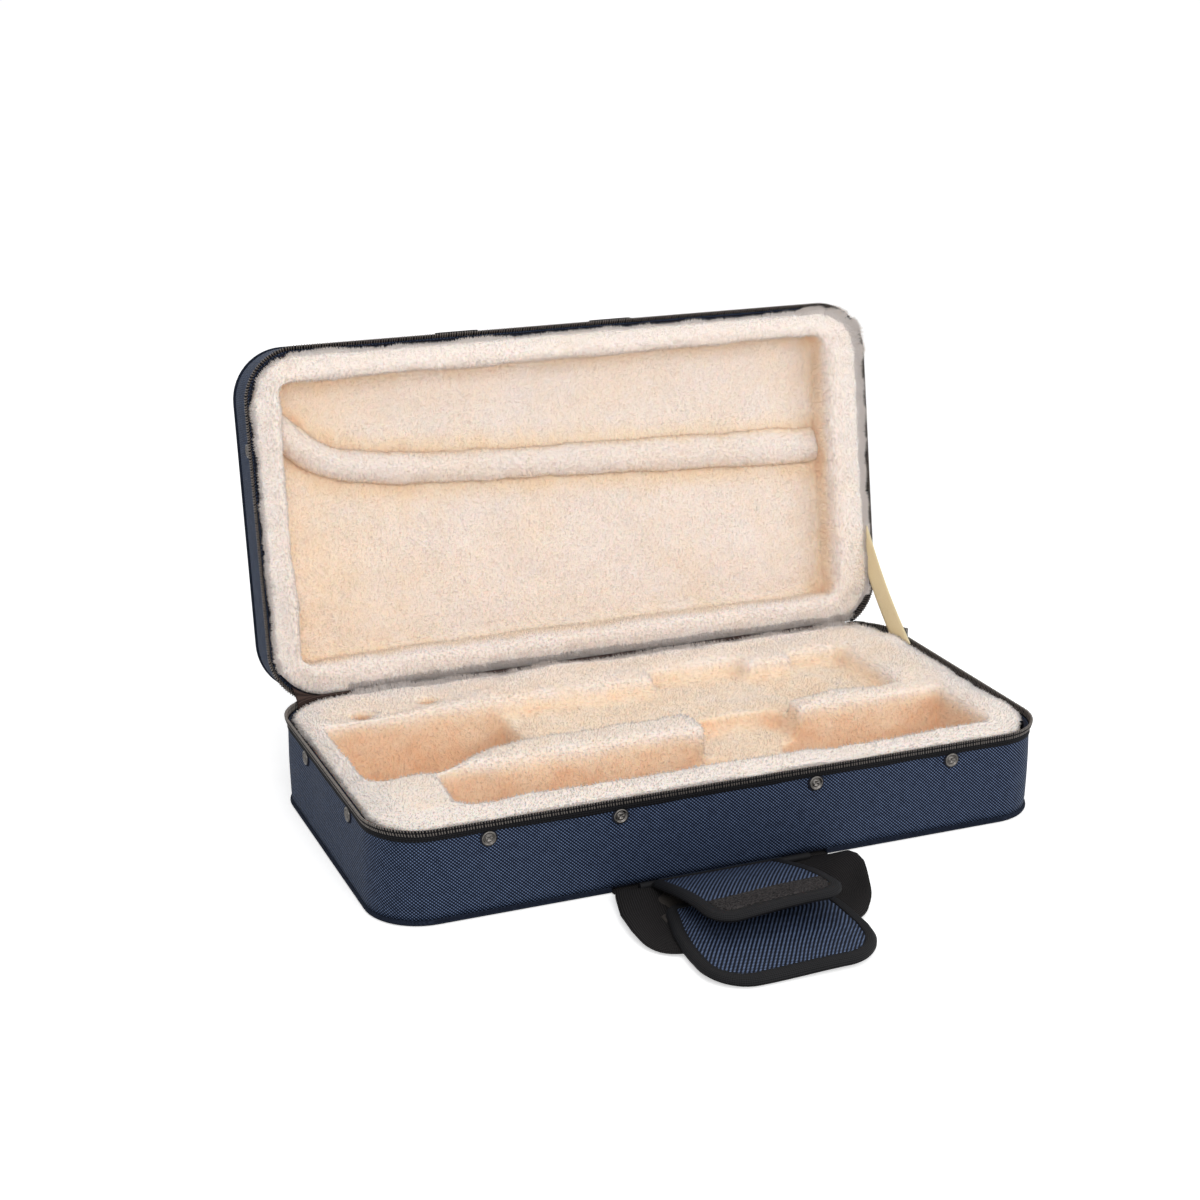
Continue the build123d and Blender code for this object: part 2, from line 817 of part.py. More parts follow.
half_neck = ear_gap / 2 - pull_gap
half_pull = pull_width / 2
with BuildPart() as slider_pull:
    with BuildSketch(Plane.XY.offset(seam_z - half_neck)) as eye:
        with Locations((pin_x, slider_y)):
            Circle(eye_radius)
    extrude(eye.sketch, amount=2 * half_neck)
    pull_plane = Plane(
        origin=(pin_x - pull_thickness / 2, slider_y, seam_z), x_dir=(0, 1, 0), z_dir=(1, 0, 0)
    )
    block(pull_plane, 0, pull_neck, -half_neck, half_neck, 0, pull_thickness)
    with BuildSketch(pull_plane) as tab:
        with Locations(((pull_neck + pull_length) / 2, 0)):
            RectangleRounded(pull_length - pull_neck, pull_width, pull_width / 3)
        with Locations((pull_slot_middle, 0)):
            SlotOverall(pull_slot_length, pull_slot_width, mode=Mode.SUBTRACT)
    extrude(tab.sketch, amount=pull_thickness)
    with BuildSketch(Plane.XY.offset(seam_z - half_neck)) as pin_hole:
        with Locations((pin_x, slider_y)):
            Circle(pin_radius + pin_play)
    extrude(pin_hole.sketch, amount=2 * half_neck, mode=Mode.SUBTRACT)

os.makedirs("parts", exist_ok=True)

base_bottom_panel.part.label = "base_bottom_panel"
export_step(base_bottom_panel.part, "parts/base_bottom_panel.step")

base_piping.part.label = "base_piping"
export_step(base_piping.part, "parts/base_piping.step")

base_tray.part.label = "base_tray"
export_step(base_tray.part, "parts/base_tray.step")

base_cover.part.label = "base_cover"
export_step(base_cover.part, "parts/base_cover.step")

base_rivets.part.label = "base_rivets"
export_step(base_rivets.part, "parts/base_rivets.step")

base_foam.part.label = "base_foam"
export_step(base_foam.part, "parts/base_foam.step")

base_plush.part.label = "base_plush"
export_step(base_plush.part, "parts/base_plush.step")

base_zip_tape.part.label = "base_zip_tape"
export_step(base_zip_tape.part, "parts/base_zip_tape.step")

base_zip_chain.part.label = "base_zip_chain"
export_step(base_zip_chain.part, "parts/base_zip_chain.step")

base_zip_stops.part.label = "base_zip_stops"
export_step(base_zip_stops.part, "parts/base_zip_stops.step")

base_handle_tabs.part.label = "base_handle_tabs"
export_step(base_handle_tabs.part, "parts/base_handle_tabs.step")

hinge_leaf_base.part.label = "hinge_leaf_base"
export_step(hinge_leaf_base.part, "parts/hinge_leaf_base.step")

hinge_spine.part.label = "hinge_spine"
export_step(hinge_spine.part, "parts/hinge_spine.step")

lid_stay.part.label = "lid_stay"
export_step(lid_stay.part, "parts/lid_stay.step")

lid_top_panel.part.label = "lid_top_panel"
export_step(lid_top_panel.part, "parts/lid_top_panel.step")

lid_piping.part.label = "lid_piping"
export_step(lid_piping.part, "parts/lid_piping.step")

lid_tray.part.label = "lid_tray"
export_step(lid_tray.part, "parts/lid_tray.step")

lid_cover.part.label = "lid_cover"
export_step(lid_cover.part, "parts/lid_cover.step")

lid_rivets.part.label = "lid_rivets"
export_step(lid_rivets.part, "parts/lid_rivets.step")

lid_foam.part.label = "lid_foam"
export_step(lid_foam.part, "parts/lid_foam.step")

lid_plush.part.label = "lid_plush"
export_step(lid_plush.part, "parts/lid_plush.step")

lid_bolster.part.label = "lid_bolster"
export_step(lid_bolster.part, "parts/lid_bolster.step")

lid_zip_tape.part.label = "lid_zip_tape"
export_step(lid_zip_tape.part, "parts/lid_zip_tape.step")

lid_zip_chain.part.label = "lid_zip_chain"
export_step(lid_zip_chain.part, "parts/lid_zip_chain.step")

lid_handle_tabs.part.label = "lid_handle_tabs"
export_step(lid_handle_tabs.part, "parts/lid_handle_tabs.step")

hinge_leaf_lid.part.label = "hinge_leaf_lid"
export_step(hinge_leaf_lid.part, "parts/hinge_leaf_lid.step")

base_handle_webbing.part.label = "base_handle_webbing"
export_step(base_handle_webbing.part, "parts/base_handle_webbing.step")

grip_spine.part.label = "grip_spine"
export_step(grip_spine.part, "parts/grip_spine.step")

grip_seat_panel.part.label = "grip_seat_panel"
export_step(grip_seat_panel.part, "parts/grip_seat_panel.step")

grip_seat_binding.part.label = "grip_seat_binding"
export_step(grip_seat_binding.part, "parts/grip_seat_binding.step")

grip_upper_panel.part.label = "grip_upper_panel"
export_step(grip_upper_panel.part, "parts/grip_upper_panel.step")

grip_upper_binding.part.label = "grip_upper_binding"
export_step(grip_upper_binding.part, "parts/grip_upper_binding.step")

grip_loop_strip.part.label = "grip_loop_strip"
export_step(grip_loop_strip.part, "parts/grip_loop_strip.step")

grip_leaf_panel.part.label = "grip_leaf_panel"
export_step(grip_leaf_panel.part, "parts/grip_leaf_panel.step")

grip_leaf_binding.part.label = "grip_leaf_binding"
export_step(grip_leaf_binding.part, "parts/grip_leaf_binding.step")

grip_hook_strip.part.label = "grip_hook_strip"
export_step(grip_hook_strip.part, "parts/grip_hook_strip.step")

lid_handle_webbing.part.label = "lid_handle_webbing"
export_step(lid_handle_webbing.part, "parts/lid_handle_webbing.step")

zip_slider.part.label = "zip_slider"
export_step(zip_slider.part, "parts/zip_slider.step")

slider_pin.part.label = "slider_pin"
export_step(slider_pin.part, "parts/slider_pin.step")

slider_pull.part.label = "slider_pull"
export_step(slider_pull.part, "parts/slider_pull.step")
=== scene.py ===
import bpy
import bmesh
import math
import numpy as np
from mathutils import Matrix, Vector


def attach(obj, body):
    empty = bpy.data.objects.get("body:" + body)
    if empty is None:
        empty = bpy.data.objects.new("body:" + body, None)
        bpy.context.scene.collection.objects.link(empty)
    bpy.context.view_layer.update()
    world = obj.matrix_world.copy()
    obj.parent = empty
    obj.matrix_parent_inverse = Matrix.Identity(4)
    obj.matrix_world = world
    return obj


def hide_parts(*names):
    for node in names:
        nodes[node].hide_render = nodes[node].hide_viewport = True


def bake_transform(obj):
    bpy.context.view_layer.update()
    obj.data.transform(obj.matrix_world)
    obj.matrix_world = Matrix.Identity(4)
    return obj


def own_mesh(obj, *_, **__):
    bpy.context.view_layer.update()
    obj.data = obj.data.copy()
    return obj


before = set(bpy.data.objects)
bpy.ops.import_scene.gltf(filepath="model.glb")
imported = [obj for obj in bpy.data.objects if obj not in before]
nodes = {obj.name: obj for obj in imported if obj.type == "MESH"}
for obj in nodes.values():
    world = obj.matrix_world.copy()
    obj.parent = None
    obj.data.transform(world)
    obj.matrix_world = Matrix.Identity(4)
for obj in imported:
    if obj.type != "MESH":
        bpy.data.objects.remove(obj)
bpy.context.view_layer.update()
circle = 2 * math.pi

# sizes that several pieces share, in metres and degrees
case = {
    "length": 0.550, "width": 0.284, "corner": 0.042,
    "baseHeight": 0.076, "lidHeight": 0.053, "seam": 0.001,
    "wallTop": 0.070, "wallFoot": 0.0045, "opened": 100.0,
    "hingeY": 0.140, "hingeZ": 0.0746, "zipEnd": 0.1388,
}
lidFrame = (
    Matrix.Translation((0, case["hingeY"], case["hingeZ"]))
    @ Matrix.Rotation(math.radians(-case["opened"]), 4, "X")
    @ Matrix.Translation((0, -case["hingeY"], case["baseHeight"] + case["seam"] - case["hingeZ"]))
)
still = Matrix.Identity(4)


class Wire:  # a socket's output that sums can be written with
    def __init__(self, tree, socket):
        self.tree, self.socket = tree, socket

    def sum(self, kind, *values):
        node = self.tree.nodes.new("ShaderNodeMath")
        node.operation = kind
        for place, value in enumerate(values):
            if isinstance(value, Wire):
                self.tree.links.new(value.socket, node.inputs[place])
            else:
                node.inputs[place].default_value = value
        return Wire(self.tree, node.outputs[0])

    def __add__(self, other): return self.sum("ADD", self, other)
    def __radd__(self, other): return self.sum("ADD", other, self)
    def __sub__(self, other): return self.sum("SUBTRACT", self, other)
    def __rsub__(self, other): return self.sum("SUBTRACT", other, self)
    def __mul__(self, other): return self.sum("MULTIPLY", self, other)
    def __rmul__(self, other): return self.sum("MULTIPLY", other, self)


def sine(wire): return wire.sum("SINE", wire)
def greater(a, b): return a.sum("MAXIMUM", a, b)


class Paint:  # one material, or the world, and the nodes in it
    def __init__(self, name, kind="materials"):
        self.made = getattr(bpy.data, kind).new(name)
        self.made.use_nodes = True
        self.tree = self.made.node_tree
        self.tree.nodes.clear()

    def add(self, kind, settings=None, sockets=None, out=0):
        node = self.tree.nodes.new(kind)
        for key, value in (settings or {}).items():
            if key == "stops":
                ramp = node.color_ramp.elements
                for place, (position, colour) in enumerate(value):
                    stop = ramp[place] if place < 2 else ramp.new(position)
                    stop.position, stop.color = position, (*colour, 1)
            else:
                setattr(node, key, value)
        for key, value in (sockets or {}).items():
            if isinstance(value, Wire):
                self.tree.links.new(value.socket, node.inputs[key])
            else:
                isColour = node.inputs[key].type == "RGBA" and len(value) == 3
                node.inputs[key].default_value = (*value, 1) if isColour else value
        return None if out is None else Wire(self.tree, node.outputs[out])

    def parts(self, vector):  # its three numbers
        split = self.add("ShaderNodeSeparateXYZ", None, {0: vector}).socket.node
        return [Wire(self.tree, out) for out in split.outputs]

    def surface(self):  # the cloth map, then u along and v across, both in metres
        spot = self.add("ShaderNodeUVMap", {"uv_map": "cloth"})
        return spot, *self.parts(spot)[:2]

    def spot(self):
        return self.add("ShaderNodeTexCoord", out="Object")

    def noise(self, vector, scale, detail=2.0, rough=0.5):
        return self.add("ShaderNodeTexNoise", None,
                        {"Vector": vector, "Scale": scale, "Detail": detail, "Roughness": rough})

    def blend(self, share, low, high):
        return self.add("ShaderNodeMix", {"data_type": "RGBA", "clamp_factor": True}, {0: share, 6: low, 7: high}, 2)

    def step(self, wire, low, high):
        return self.add("ShaderNodeMapRange", {"interpolation_type": "SMOOTHSTEP"}, {0: wire, 1: low, 2: high})

    def bump(self, height, distance, strength=1.0):
        return self.add("ShaderNodeBump", None, {"Height": height, "Distance": distance, "Strength": strength})

    def cloth(self, shade, rough, height, depth, strength, gloss=0.12):
        bump = self.bump(height, depth, strength)
        return self.done(Base_Color=shade, Roughness=rough, Normal=bump, Specular_IOR_Level=gloss)

    def done(self, **sockets):
        shader = self.add("ShaderNodeBsdfPrincipled", None, {k.replace("_", " "): v for k, v in sockets.items()})
        self.add("ShaderNodeOutputMaterial", None, {0: shader}, None)
        return self.made


navy = {  # each weave: its two colours, then the pitch of its two sets of ribs along and across, and their shares
    "wall": {"dark": (0.0015, 0.0040, 0.0125), "light": (0.122, 0.172, 0.295),
             "ribs": ((0.0029, 0.0026, 0.68), (0.0029, -0.0026, 0.45))},
    "grip": {"dark": (0.0008, 0.0018, 0.0060), "light": (0.150, 0.207, 0.350),
             "ribs": ((0.0034, 0.0052, 0.62), (-0.0047, 0.0021, 0.52))},
}


def wovenNavy(name, weave="wall", plane=None):
    p = Paint(name)
    if plane:  # a flat panel's own way across, for parts without a cloth map
        spot = p.spot()
        u, y, z = p.parts(spot)
        v = y * plane[0] + z * plane[1]
    else:
        spot, u, v = p.surface()
    tone = navy[weave]
    first, second = (sine(u * (circle / a) + v * (circle / b)) * share for a, b, share in tone["ribs"])
    uneven = p.noise(spot, 900.0, 1.0)
    broad = p.noise(spot, 160.0, 3.0)
    raised = p.step(first + second + (uneven - 0.5) * 0.5, 0.0, 0.85)
    shade = p.blend(raised * (0.35 + broad * 1.2), tone["dark"], tone["light"])
    return p.cloth(shade, 0.62 - raised * 0.1, raised, 0.0005, 0.6)


def dullCloth(name, dark, light, alongPitch, acrossPitch, depth=0.00025, rough=0.8):
    p = Paint(name)
    spot, u, v = p.surface()
    ribs = sine(v * (circle / acrossPitch)) * 0.6 + sine(u * (circle / alongPitch)) * 0.4
    fuzz = p.noise(spot, 700.0)
    broad = p.noise(spot, 25.0)
    raised = p.step(ribs + (fuzz - 0.5) * 0.8, -0.9, 0.9)
    shade = p.blend(raised * (0.6 + broad * 0.8), dark, light)
    return p.cloth(shade, rough, raised, depth, 0.7)


def spotCloth(name, dark, light, grain, depth=0.0003, rough=0.85):  # for parts without a cloth map
    p = Paint(name)
    spot = p.spot()
    x, y, z = p.parts(spot)
    weave = sine((x + y) * (circle / grain)) * sine((x - y + z) * (circle / grain))
    fuzz = p.noise(spot, 500.0, 3.0)
    raised = p.step(weave * 0.5 + fuzz, 0.1, 0.95)
    return p.cloth(p.blend(raised, dark, light), rough, raised, depth, 0.6)


# cream is the plush's own colour; peach and the deep colour stand for painted shade in the hollows and creases
plushLook = {
    "cream": (0.938, 0.820, 0.742), "peach": (0.975, 0.755, 0.560), "creaseShade": (0.905, 0.575, 0.362),
    "broad": 0.45, "patches": 0.26, "tufts": 0.16, "fine": 0.10,
}


def plushPaint(name):  # the shade attribute runs from 0 on the rims to 0.5 inside the hollows and 1 in the creases: painted shade, peach in the hollows and deep orange in the creases
    p = Paint(name)
    spot = p.spot()
    warm = p.add("ShaderNodeAttribute", {"attribute_name": "warm"}, None, 2)
    broad = p.noise(spot, 15.0, 3.0)
    tufts = p.noise(spot, 170.0, 3.0, 0.6)
    fine = p.noise(spot, 700.0, 2.0, 0.6)
    patches = p.noise(spot, 42.0, 3.0, 0.6)
    warmth = warm * (0.55 + patches * 0.9)
    for wire, key in ((broad, "broad"), (patches, "patches"), (tufts, "tufts"), (fine, "fine")):
        warmth = warmth + (wire - 0.5) * plushLook[key]
    # cream on the rims, then peach and deep orange as painted shade in the hollows and creases; the noises add random
    # tone
    stops = [(0.0, plushLook["cream"]), (1.0, plushLook["creaseShade"]), (0.5, plushLook["peach"])]
    shade = p.add("ShaderNodeValToRGB", {"stops": stops}, {0: warmth})
    return p.done(Base_Color=shade, Roughness=0.95, Normal=p.bump(tufts * 0.55 + fine * 0.45, 0.0014, 0.6),
                  Subsurface_Weight=0.4, Subsurface_Radius=(1.0, 0.6, 0.4), Subsurface_Scale=0.008,
                  Sheen_Weight=0.25, Sheen_Roughness=0.6, Specular_IOR_Level=0.1)


def wornPaint(name, scale, detail, dark, light, rough, roughMore, depth, metallic=0.0):
    p = Paint(name)
    worn = p.noise(p.spot(), scale, detail)
    return p.done(Base_Color=p.blend(worn, dark, light), Metallic=metallic,
                  Roughness=rough + worn * roughMore, Normal=p.bump(worn, depth, 0.3))


def fuzzStrip(name):
    p = Paint(name)
    loops = p.noise(p.spot(), 900.0, 3.0, 0.7)
    shade = p.blend(p.step(loops, 0.35, 0.65), (0.003, 0.003, 0.0035), (0.062, 0.056, 0.056))
    return p.cloth(shade, 0.95, loops, 0.0012, 0.9, 0.15)


coverPaint = wovenNavy("navy_weave")
flapPaint = wovenNavy("navy_rib", "grip")
bottomPaint = wovenNavy("bottom_weave", "wall", (1.0, 0.0))
topPaint = wovenNavy("top_weave", "wall", (lidFrame[1][1], lidFrame[2][1]))
tapePaint = dullCloth("zip_tape_cloth", (0.0015, 0.0015, 0.002), (0.012, 0.012, 0.014), 0.0022, 0.0016)
webbingPaint = dullCloth("ribbed_webbing", (0.0012, 0.0012, 0.0013), (0.025, 0.0225, 0.0225), 0.0009, 0.0017, 0.0005)
bindingPaint = dullCloth("binding_tape", (0.0012, 0.0012, 0.0015), (0.018, 0.018, 0.020), 0.0016, 0.0013, 0.00014, 0.62)
ribbonPaint = dullCloth("khaki_ribbon", (0.70, 0.58, 0.33), (0.97, 0.88, 0.63), 0.0011, 0.0013, 0.00012, 0.7)
hingePaint = dullCloth("hinge_cloth", (0.016, 0.010, 0.009), (0.070, 0.045, 0.038), 0.0012, 0.0014)
pipingPaint = spotCloth("piping_cloth", (0.003, 0.005, 0.012), (0.018, 0.025, 0.044), 0.0018)
trayPaint = spotCloth("wrapped_board", (0.006, 0.007, 0.012), (0.022, 0.026, 0.042), 0.0020)
linerPaint = spotCloth("grip_liner_cloth", (0.020, 0.017, 0.015), (0.060, 0.053, 0.048), 0.0016, 0.0001, 0.5)
metalPaint = wornPaint("gunmetal", 260.0, 3.0, (0.055, 0.050, 0.047), (0.25, 0.234, 0.219), 0.20, 0.18, 0.00005, 1.0)
coilPaint = wornPaint("coil_plastic", 400.0, 2.0, (0.075, 0.065, 0.058), (0.200, 0.172, 0.152), 0.24, 0.15, 0.00006)
stripPaint = fuzzStrip("hook_and_loop")
plushCloth = plushPaint("plush")
print("materials ready")


def linked(name, data):
    piece = bpy.data.objects.new(name, data)
    bpy.context.scene.collection.objects.link(piece)
    return piece


def finishMesh(name, verts, faces, paint, uvs=None, place=still, recalc=True):
    data = bpy.data.meshes.new(name)
    data.from_pydata(np.asarray(verts, float).tolist(), [], faces)
    if uvs is not None:
        layer = data.uv_layers.new(name="cloth")
        layer.data.foreach_set("uv", np.asarray(uvs, np.float32).ravel())
    if recalc:
        work = bmesh.new()
        work.from_mesh(data)
        bmesh.ops.recalc_face_normals(work, faces=work.faces)
        work.to_mesh(data)
        work.free()
    data.transform(place)
    data.shade_smooth()
    data.materials.append(paint)
    return linked(name, data)


def settle(piece, body, slot, *replaced):
    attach(piece, body)
    if replaced:
        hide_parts(*replaced)
    return piece


def readAll(items, key, kind, columns=1):  # one value of every vertex, edge or corner
    flat = np.empty(len(items) * columns, kind)
    items.foreach_get(key, flat)
    return flat.reshape(-1, columns) if columns > 1 else flat


def coords(data):
    return readAll(data.vertices, "co", np.float32, 3).astype(float)


def setCoords(data, points):
    data.vertices.foreach_set("co", points.astype(np.float32).ravel())
    data.update()


def ownPlace(points, place):  # a half's own directions, with the zip's edge at 76 mm for the base and 0 for the lid
    inverse = np.array(place.inverted())
    return points @ inverse[:3, :3].T + inverse[:3, 3]


def backPlace(own, place):
    whole = np.array(place)
    return own @ whole[:3, :3].T + whole[:3, 3]


def ripple(a, b, kind, wave):  # a gentle, repeatable unevenness between -1 and 1
    rng = np.random.default_rng(kind)
    waves, lap = 5, 6.28
    total = 0
    for _ in range(waves):
        angle, phase, stretch = rng.uniform(0, lap), rng.uniform(0, lap), rng.uniform(0.6, 1.7)
        total = total + np.sin((a * math.cos(angle) + b * math.sin(angle)) * lap * stretch / wave + phase)
    return total / waves


def softStep(value, low, high):
    t = np.clip((value - low) / (high - low), 0, 1)
    return t * t * (3 - 2 * t)


def walked(points):  # how far along its line each point lies
    return np.concatenate(([0], np.cumsum(np.linalg.norm(np.diff(points, axis=0), axis=1))))


def tubeFaces(rows, ring, closed=False):  # also gives each corner's row and place in the ring
    faces, corners = [], []
    for k in range(rows if closed else rows - 1):
        for j in range(ring):
            spots = ((k, j), (k, j + 1), (k + 1, j + 1), (k + 1, j))
            faces.append([row % rows * ring + spot % ring for row, spot in spots])
            corners += spots
    if not closed:
        for k in (0, rows - 1):
            faces.append([k * ring + j for j in range(ring)])
            corners += [(k, j) for j in range(ring)]
    return faces, np.array(corners)


def tubeMesh(name, rings, paint, marks=None, across=None, place=still):  # marks run along it, across runs round it
    rows, ring = rings.shape[:2]
    faces, corners = tubeFaces(rows, ring)
    uvs = None if marks is None else np.stack([marks[corners[:, 0]], across[corners[:, 1] % ring]], 1)
    return finishMesh(name, rings.reshape(-1, 3), faces, paint, uvs, place)


def skinMesh(name, top, under, rows, paint, uv=None):  # two grids of points, one over the other, joined at the border
    total = len(top)
    columns = total // rows
    faces = []
    for k in range(rows - 1):
        for j in range(columns - 1):
            a = k * columns + j
            face = (a, a + 1, a + columns + 1, a + columns)
            faces += [face, tuple(i + total for i in reversed(face))]
    border = list(range(columns)) + [k * columns + columns - 1 for k in range(1, rows)]
    border += [(rows - 1) * columns + j for j in range(columns - 2, -1, -1)]
    border += [k * columns for k in range(rows - 2, 0, -1)]
    faces += [(a, a + total, b + total, b) for a, b in zip(border, border[1:] + border[:1])]
    uvs = None if uv is None else uv[np.array(faces).ravel() % total]
    return finishMesh(name, np.concatenate([top, under]), faces, paint, uvs)


def turnedForm(line, turns, closed=False):  # a lathe's line of (radius, height) as rings
    a = circle * np.arange(turns) / turns
    verts = [(radius * math.cos(t), radius * math.sin(t), up) for radius, up in line for t in a]
    return np.array(verts), tubeFaces(len(line), turns, closed)[0]


def beads(name, spots, paint, form, place=still):  # one small form at many places, each given as 3 x 4 numbers
    verts, faces = form
    together = np.concatenate([verts @ s[:, :3].T + s[:, 3] for s in spots])
    many = [[i + k * len(verts) for i in face] for k in range(len(spots)) for face in faces]
    return finishMesh(name, together, many, paint, None, place)


def pathRun(path, a, b, normal, count):  # path gathers rows of a place and the way outwards
    for k in range(count):
        t = k / count
        path.append((a[0] + (b[0] - a[0]) * t, a[1] + (b[1] - a[1]) * t, *normal))


def pathArc(path, x, y, r, start, swing, count):
    for k in range(count):
        a = math.radians(start + swing * k / count)
        path.append((x + r * math.cos(a), y + r * math.sin(a), math.cos(a), math.sin(a)))


def pathDone(path):  # points, ways outwards, distances walked, and the whole distance round
    path = np.array(path)
    runs = walked(np.concatenate([path, path[:1]])[:, :2])
    return path[:, :2], path[:, 2:], runs[:-1], runs[-1]


def planPath(step):  # round the case from the middle of its back wall, by the left wall and the front
    hx, hy, r = case["length"] / 2, case["width"] / 2, case["corner"]
    path = []

    def run(a, b, normal):
        pathRun(path, a, b, normal, max(2, math.ceil(math.dist(a, b) / step)))

    def arc(x, y, start):
        pathArc(path, x, y, r, start, 90, math.ceil(r * math.pi / 2 / step))

    run((0, hy), (-hx + r, hy), (0, 1))
    arc(-hx + r, hy - r, 90)
    run((-hx, hy - r), (-hx, -hy + r), (-1, 0))
    arc(-hx + r, -hy + r, 180)
    run((-hx + r, -hy), (hx - r, -hy), (0, -1))
    arc(hx - r, -hy + r, 270)
    run((hx, -hy + r), (hx, hy - r), (1, 0))
    arc(hx - r, hy - r, 0)
    run((hx - r, hy), (0, hy), (0, 1))
    return pathDone(path)


def zipPath(step):  # only the part that the zip runs along
    points, normals, runs, _ = planPath(step)
    keep = points[:, 1] <= case["zipEnd"]
    return points[keep], normals[keep], runs[keep], None


def sweep(name, path, profile, paint, place=still, push=0):
    # carries a closed profile of (out, up) round a path; one with a whole distance is shut into a ring
    points, normals, runs, total = path
    count, ring = len(points), len(profile)
    profile = np.array(profile)
    shape = np.broadcast_to(profile + push, (count, ring, 2))
    verts = np.zeros((count, ring, 3))
    verts[:, :, :2] = points[:, None] + normals[:, None] * shape[:, :, :1]
    verts[:, :, 2] = shape[:, :, 1]
    height = walked(np.concatenate([profile, profile[:1]]))
    ends = np.concatenate((runs, [total])) if total else runs
    faces, corners = tubeFaces(count, ring, bool(total))
    uvs = np.stack([ends[corners[:, 0]], height[corners[:, 1]]], 1)
    if not total:
        uvs[-2 * ring:, 0] += np.tile(profile[:, 0], 2)
    return finishMesh(name, verts.reshape(-1, 3), faces, paint, uvs, place)


coverSet = {"step": 0.006, "rows": 14, "thick": 0.0012, "turnIn": 0.0004, "swell": 0.0007,
            "waver": 0.0006, "waverLong": 0.11, "dimple": 0.00054, "dimpleWide": 0.012}
rivetSet = {
    "front": (-0.194, -0.092, 0.068, 0.186), "baseSide": (-0.064, 0.052), "lidSide": (-0.064,),
    "radius": 0.0058, "head": 0.0017, "baseZ": 0.061, "lidZ": 0.015, "turns": 40, "lobe": 0.00028,
}


def rivetSpots(sides, z):  # each rivet's place, its axis outwards
    hx, hy = case["length"] / 2, case["width"] / 2
    spots = [(x, -hy, 0, -1) for x in rivetSet["front"]]
    for y in sides:
        spots += [(-hx, y, -1, 0), (hx, y, 1, 0)]
    return [np.array([[-ny, 0, nx, x], [nx, 0, ny, y], [0, 1, 0, z]], float) for x, y, nx, ny in spots]


def coverBand(name, low, high, spots, kind, place):  # the navy skin round one half
    rows = coverSet["rows"]
    z = low + (high - low) * np.arange(rows) / (rows - 1)
    outer = [(0.0, up) for up in z[1:-1]]
    inset, thick = -coverSet["turnIn"], -coverSet["thick"]
    profile = [(inset, low)] + outer + [(inset, high), (thick, high), (thick, low)]
    path = planPath(coverSet["step"])
    points, runs = path[0], path[2]
    bow = np.sin(np.pi * (z - low) / (high - low))
    waver = coverSet["waver"] * ripple(runs[:, None], z, kind, coverSet["waverLong"])
    push = coverSet["swell"] * bow + waver * np.maximum(bow, 0) ** 0.5
    for spot in spots:
        x, y, up = spot[:, 3]
        far = np.hypot(np.hypot(points[:, 0] - x, points[:, 1] - y)[:, None], z - up)
        push -= (push + coverSet["dimple"]) * np.exp(-((far / coverSet["dimpleWide"]) ** 2))
    pushes = np.zeros((len(points), len(profile), 2))
    pushes[:, :rows, 0] = push
    return sweep(name, path, profile, coverPaint, place, pushes)


def rivetForm():  # a pressed cap: rolled rim, groove, and a staked boss in the middle
    r, head, turns = rivetSet["radius"], rivetSet["head"], rivetSet["turns"]
    rim = [(r * 0.97, -0.0006), (r, 0.0003)]
    cap = ((0.985, 0.62), (0.93, 0.9), (0.85, 1.0), (0.76, 0.96), (0.70, 0.62), (0.64, 0.42), (0.55, 0.40), (0.50, 0.6),
           (0.46, 0.92), (0.38, 1.0), (0.28, 0.92), (0.16, 0.62), (0.06, 0.5))
    line = rim + [(r * out, head * up) for out, up in cap]
    verts, faces = turnedForm(line, turns)
    lobes = rivetSet["lobe"] * np.cos(4 * circle * np.arange(turns) / turns)
    verts[-4 * turns:, 2] += np.concatenate([lobes, lobes, lobes, lobes * 0.3])  # the boss's four staked marks
    return verts, faces


def shadowRingForm():  # the pinched ring of cloth round each cap, painted dark: painted shadow round the pressed-in cap
    r = rivetSet["radius"]
    line = [(r * 0.9, -0.0008), (r * 0.94, 0.0006), (r * 1.08, 0.00075), (r * 1.17, 0.0003), (r * 1.18, -0.0008)]
    return turnedForm(line, 32, True)


baseSpots = rivetSpots(rivetSet["baseSide"], rivetSet["baseZ"])
lidSpots = rivetSpots(rivetSet["lidSide"], rivetSet["lidZ"])
baseCover = coverBand("base_cover_skin", case["wallFoot"] + 0.0001, case["wallTop"], baseSpots, 3, still)
settle(baseCover, "base", "cover_cloth", "base_cover")
lidCover = coverBand("lid_cover_skin", 0.006, case["lidHeight"] - case["wallFoot"], lidSpots, 8, lidFrame)
settle(lidCover, "lid", "cover_cloth", "lid_cover")
caps, rings = rivetForm(), shadowRingForm()
settle(beads("base_rivet_caps", baseSpots, metalPaint, caps), "base", "rivet_metal", "base_rivets")
# dark rings round the caps: painted shadow
settle(beads("base_rivet_shadow_rings", baseSpots, trayPaint, rings), "base", "cover_cloth")
settle(beads("lid_rivet_shadow_rings", lidSpots, trayPaint, rings, lidFrame), "lid", "cover_cloth")
settle(beads("lid_rivet_caps", lidSpots, metalPaint, caps, lidFrame), "lid", "rivet_metal", "lid_rivets")
print("covers and rivets made")

zipSet = {
    "tapeLow": 0.0104, "tapeOut": 0.0009, "pitch": 0.00215, "half": 0.00058, "depth": 0.00120,
    "height": 0.0056, "lean": 0.22, "stitch": 0.0026, "thread": 0.00050, "sway": 0.0007, "swayLong": 0.07,
    "end": 0.006, "lip": 0.0007, "root": 0.0042, "edge": 0.0003, "seam": 0.0001,
    "base": {"headOut": 0.0019, "flare": 0.18}, "lid": {"headOut": 0.0030, "flare": 0.50},
    "loop": ((0, 0.5, 0.5), (0.06, 0.95, 0.9), (0.2, 1, 1), (0.38, 0.85, 0.6), (0.5, 0.85, 0.6), (0.66, 1, 0.85),
             (0.92, 0.9, 0.7), (1, 0.5, 0.4)),  # height, half and depth of a loop: head, waist at the stitches, tail
    "loopSides": 8,
}


